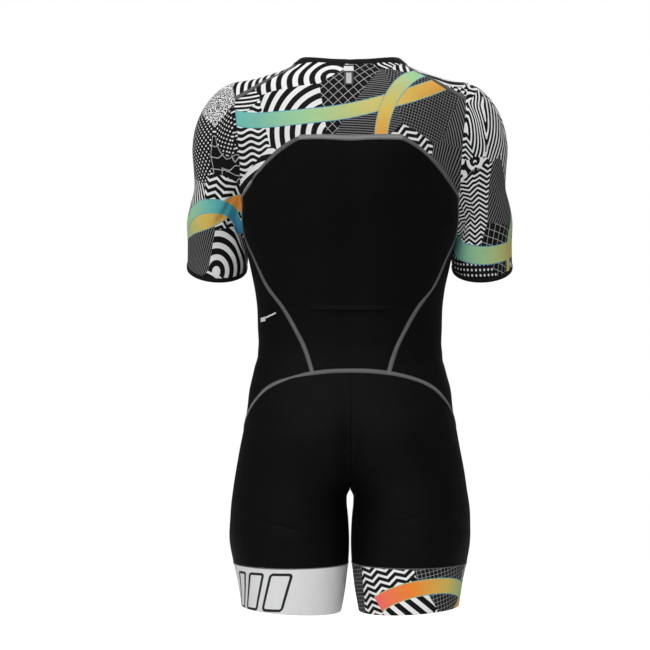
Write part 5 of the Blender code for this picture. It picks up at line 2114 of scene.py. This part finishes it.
@dataclass
class Zip:
    """The zip: its tape, the coil's two rows of teeth, the slider and the pull tab."""

    pattern: Pattern
    tape_half: float = 0.0110
    tape_sunk: float = 0.0010
    tape_wall: float = 0.0005
    tape_columns: int = 13
    coil_sunk: float = 0.0006
    tooth_pitch: float = 0.0013
    tooth_half: float = 0.0023
    tooth_rise: float = 0.0010
    tooth_radius: float = 0.00038
    tooth_taper: tuple = (0.55, 1, 1, 1, 1, 0.5)    # the radius along a tooth
    tooth_past: float = 0.0007      # how far a tooth reaches over the middle
    tooth_arc: Pair = (0.12, 0.8)   # where its arch starts, and how much of a half turn it takes
    tooth_sides: int = 5
    slider_height: float = -0.080
    slider_size: Triple = (0.0090, 0.0024, 0.0120)
    slider_turns: tuple[int, int] = (17, 40)    # rings from face to face, and points round one
    slider_roundness: Pair = (0.28, 0.42)       # of its thickness, and of its outline
    slider_widening: float = 0.16               # how much wider its top is
    seat: float = 0.0004
    bridge_length: float = 0.0090
    bridge_rise: float = 0.0028
    bridge_width: float = 0.0024
    bridge_bar: float = 0.0008
    bridge_post: float = 0.0015
    bridge_turns: tuple[int, int] = (25, 12)    # sections along it, and points round one
    bridge_roundness: Pair = (0.55, 0.5)        # of its arch, and of its section
    pull_size: Triple = (0.0070, 0.0012, 0.0260)
    pull_turns: tuple[int, int] = (64, 20)      # sections round the eye, and points round one
    pull_roundness: Pair = (0.62, 0.38)         # of its outline, and of its section
    pull_axis_up: float = 0.0016
    pull_thinning: float = 0.35     # how much thinner its lower field is
    pull_field: tuple[Pair, Pair] = ((0.25, 0.45), (0.95, 0.80))    # from the eye out, and from the rim in
    pull_field_top: Pair = (-0.008, -0.011)
    eye: float = 0.0040

    def build(self) -> None:
        """Makes the tape, the teeth, the slider and the pull tab."""
        line = self.pattern.zip_line()
        slope = unit(np.gradient(line, axis=0))
        out = np.cross(slope, np.broadcast_to((1.0, 0, 0), slope.shape))
        out = out * np.sign(-out[:, 1:2])
        route = Route(line, out)
        self.tape(route)
        self.teeth(route)
        self.slider(line)
        self.pull(line)

    def tape(self, route: Route) -> None:
        """The woven tape: a strip under the edges of both fronts, laid on the figure and sunk.

        Args:
            route: the zip's line.
        """
        line, across = route.points, np.linspace(-self.tape_half, self.tape_half, self.tape_columns)
        grid = self.pattern.figure.drop(across[None] + 0 * line[:, 2:], line[:, 2:] + 0 * across, -1)
        grid = grid - self.tape_sunk * grid_normals(grid)
        tape = route.strip("zip_tape", grid, across)
        thickened(tape, self.tape_wall)
        belong(tape, "binding", TAPE, nodes=("zip_chain",))
        route.length()

    def teeth(self, route: Route) -> None:
        """The coil's turns: short bars that reach over the middle from either side by turns.

        A bar's spine rises and falls as part of a sine arch, and a circle is carried along it.

        Args:
            route: the zip's line.
        """
        count = int(route.length() / self.tooth_pitch) * 2
        places = (np.arange(count) + 0.5) * self.tooth_pitch / 2
        both = along_line(np.hstack([route.points, route.out]), places)
        seats = Route(both[:, :3], unit(both[:, 3:]))
        side = np.where(np.arange(count) % 2, 1, -1)[:, None]
        arc, (arc_start, arc_share) = np.linspace(0, 1, len(self.tooth_taper)), self.tooth_arc
        across = side * (self.tooth_half - (self.tooth_half + self.tooth_past) * arc)
        arch = np.sin(np.pi * (arc_start + arc_share * arc))
        out = -self.coil_sunk + self.tooth_rise * arch + 0 * across
        spine = seats.carry(across, out)
        along, _, _ = seats.directions()
        along = np.repeat(along[:, None], len(arc), 1)
        run = unit(np.gradient(spine, axis=1))
        up = np.cross(run, along)
        radius = self.tooth_radius * np.array(self.tooth_taper)[None, :, None, None]
        sides = self.tooth_sides
        cosine, sine = np.cos(turns(sides))[:, None], np.sin(turns(sides))[:, None]
        rings = spine[..., None, :] + radius * (cosine * along[..., None, :] + sine * up[..., None, :])
        corners = len(arc) * sides
        faces = grid_faces(len(arc), sides, ring=True)
        caps = np.array((np.arange(sides)[::-1], np.arange(sides) + corners - sides))
        start = np.arange(count)[:, None, None] * corners
        every = (faces + start).reshape(-1, 4).tolist() + (caps + start).reshape(-1, sides).tolist()
        teeth = mesh_object("zip_teeth_rows", rings, every)
        outward_faces(teeth.data)
        belong(teeth, "zip_teeth", COIL)

    def place(self, line: Array, across: Array, out: Array, up: Array) -> Array:
        """Points given across, outwards and up from the slider's seat on the leaning chest.

        Args:
            line: the zip's line, whose slope under the slider gives the lean.
            across, out, up: distances in metres.

        Returns:
            The points in the suit's frame.
        """
        half = self.slider_size[2] / 2
        at = self.slider_height + np.array((half, 0, -half))
        above, depth, below = np.interp(at, line[::-1, 2], line[::-1, 1])
        lean = np.arctan2(above - below, 2 * half)
        outwards = np.array((0, -np.cos(lean), np.sin(lean)))
        upwards = np.array((0, np.sin(lean), np.cos(lean)))
        origin = np.array((0, depth, self.slider_height))
        across, out, up = np.broadcast_arrays(across, out, up)
        sideways = across[..., None] * np.array((1.0, 0, 0))
        return origin + sideways + out[..., None] * outwards + up[..., None] * upwards

    def slider(self, line: Array) -> None:
        """The slider: a rounded body, narrower below, with an arch over it.

        The body is a superellipsoid: width and length shrink with the cosine of the latitude,
        the thickness grows with its sine. The arch is a flat bar carried over a half oval.

        Args:
            line: the zip's line.
        """
        width, thick, length = self.slider_size
        latitude = np.linspace(-np.pi / 2, np.pi / 2, self.slider_turns[0])[:, None]
        shrink, height = superellipse(latitude, self.slider_roundness[0])
        east, north = superellipse(turns(self.slider_turns[1]), self.slider_roundness[1])
        up = length / 2 * shrink * north
        across = width / 2 * shrink * east * (1 + self.slider_widening * up / (length / 2))
        points = self.place(line, across, self.seat + thick / 2 * (1 + height), up)
        body = grid_object("slider_body", points, ring=True)
        arc = np.linspace(0, np.pi, self.bridge_turns[0])
        run, rise = superellipse(arc, self.bridge_roundness[0])
        middle = self.bridge_bar / 2
        top = self.seat + thick + self.bridge_rise - middle
        path_out = self.seat + thick / 2 + (top - self.seat - thick / 2) * rise
        path_up = (self.bridge_length / 2 - middle) * run
        centre = self.place(line, 0 * arc, path_out, path_up)
        inside = self.place(line, 0, self.seat, 0)
        route = Route(centre, unit(centre - inside))
        side, out = superellipse(-turns(self.bridge_turns[1]), self.bridge_roundness[1])
        arch = grid_object("slider_arch", route.carry(side * self.bridge_width / 2, out * middle),
                           ring=True, capped=True)
        for piece, nodes in ((body, ("zip_slider",)), (arch, ())):
            outward_faces(piece.data)
            belong(piece, "zip_metal", PAINT, nodes=nodes)

    def pull(self, line: Array) -> None:
        """The pull tab: a plate with an eye, as a section carried round between two outlines.

        Each point lies between the eye's outline and the plate's by a rounded cosine, and off
        the plate's middle by a rounded sine.

        Args:
            line: the zip's line.
        """
        width, wall, length = self.pull_size
        axis_out = self.seat + self.slider_size[1] + (self.bridge_rise - self.bridge_bar) / 2
        axis_up = -self.bridge_length / 2 + self.bridge_post + self.pull_axis_up
        (east, north), (share, height) = (superellipse(turns(count), roundness) for count, roundness
                                          in zip(self.pull_turns, self.pull_roundness))
        share = (1 + share)[None] / 2
        eye_up = -wall / 2 - self.eye / 2
        inner = self.eye / 2 * east, eye_up + self.eye / 2 * north
        outer = width / 2 * east, (wall - length) / 2 + wall / 4 + (length / 2 - wall / 4) * north
        across, up = (near[:, None] * (1 - share) + far[:, None] * share for near, far in zip(inner, outer))
        from_eye, from_rim = (ramp(*ends, share) for ends in self.pull_field)
        thin = 1 - self.pull_thinning * from_eye * from_rim * ramp(*self.pull_field_top, up)
        points = self.place(line, across, axis_out + wall / 2 * height[None] * thin, axis_up + up)
        pull = grid_object("pull_plate", points, ring=True, loop=True)
        outward_faces(pull.data)
        belong(pull, "zip_metal", PAINT, nodes=("zip_pull",), body="pull_tab")


# The softboxes: place, size, power, the point that they look at, and the angle that they light.
LIGHTS = {
    "back": ((1.1, 2.6, 2.2), (1.6, 1.6), 58, (0, 0, -0.30)),
    "left": ((2.3, 0.7, 0.9), (1.2, 1.6), 13, (0, 0, -0.40)),
    "right": ((-2.3, 0.7, 0.9), (1.2, 1.6), 9.5, (0, 0, -0.40)),
    "low": ((0.2, 1.7, -0.92), (0.5, 0.3), 0.5, (0, 0, -0.72), 0.75),
    "front": ((-0.8, -3.2, 1.2), (2.0, 2.0), 20, (0, 0, -0.4)),
    "top": ((0, 1.0, 2.4), (1.6, 1.6), 34, (0, 0, -0.4)),
}


@dataclass
class Studio:
    """A pale floor, soft lights and the camera behind the suit."""

    floor_height: float = -1.02
    floor_half: float = 1.6
    camera_place: Triple = (0.04, 3.0, -0.427)
    lens: float = 103.85
    world: float = 0.16

    def build(self) -> None:
        """Makes the floor, the lights, the world and the camera."""
        self.floor()
        for name, light in LIGHTS.items():
            self.light("softbox_" + name, *light)
        world = bpy.data.worlds.new("pale room")
        world.use_nodes = True
        graph = Graph(world.node_tree)
        seen = graph.add("LightPath").outputs["Is Camera Ray"]
        graph.set(world.node_tree.nodes["Background"],
                  {"Color": (1, 1, 1, 1), "Strength": graph.choose(seen, self.world, 1.0)})
        bpy.context.scene.world = world
        camera = bpy.data.cameras.new("camera")
        camera.sensor_width = 36.0
        camera.lens = self.lens
        holder = linked("camera", camera)
        holder.location = self.camera_place
        holder.rotation_euler = (np.pi / 2, 0, np.pi)
        bpy.context.scene.camera = holder
        bpy.context.scene.view_settings.view_transform = "Standard"

    def floor(self) -> None:
        """A wide, flat floor below the suit."""
        edge = np.linspace(-self.floor_half, self.floor_half, 9)
        x, y = np.meshgrid(edge, edge)
        points = np.stack([x, y, np.full_like(x, self.floor_height)], -1)
        floor = grid_object("studio_floor", points)
        floor.data.materials.append(FLOOR.material())

    def light(self, name: str, place: tuple, size: Pair, power: float,
              target: tuple, spread: float = np.pi) -> None:
        """A rectangular softbox that looks at a target; spread is the angle that it lights.

        Args:
            name: the light's name.
            place, target: where it is, and the point that it looks at.
            size: its width and height.
            power: its watts.
            spread: the angle that it lights.
        """
        lamp = bpy.data.lights.new(name, "AREA")
        lamp.shape = "RECTANGLE"
        lamp.size, lamp.size_y = size
        lamp.energy, lamp.spread = power, spread
        holder = linked(name, lamp)
        holder.location = place
        towards = Vector(target) - Vector(place)
        holder.rotation_euler = towards.to_track_quat("-Z", "Y").to_euler()


def main() -> None:
    """Builds the suit, its finishes and the studio."""
    logging.basicConfig(level=logging.INFO, format="%(name)s: %(message)s")
    for build_group in (build_knit_group, build_patchwork_group, build_bow_group, build_bar_group):
        build_group()
    pattern = Pattern(Figure())
    for part in (Back(pattern), Sides(pattern), Sleeves(pattern), Legs(pattern), Seams(pattern),
                 Binding("neck_edge_binding", "neck_binding", pattern.neck()),
                 NeckLabel(pattern.figure), Transfer(pattern.figure), Zip(pattern), Studio()):
        log.info("building %s", type(part).__name__)
        part.build()


if __name__ == "__main__":
    main()
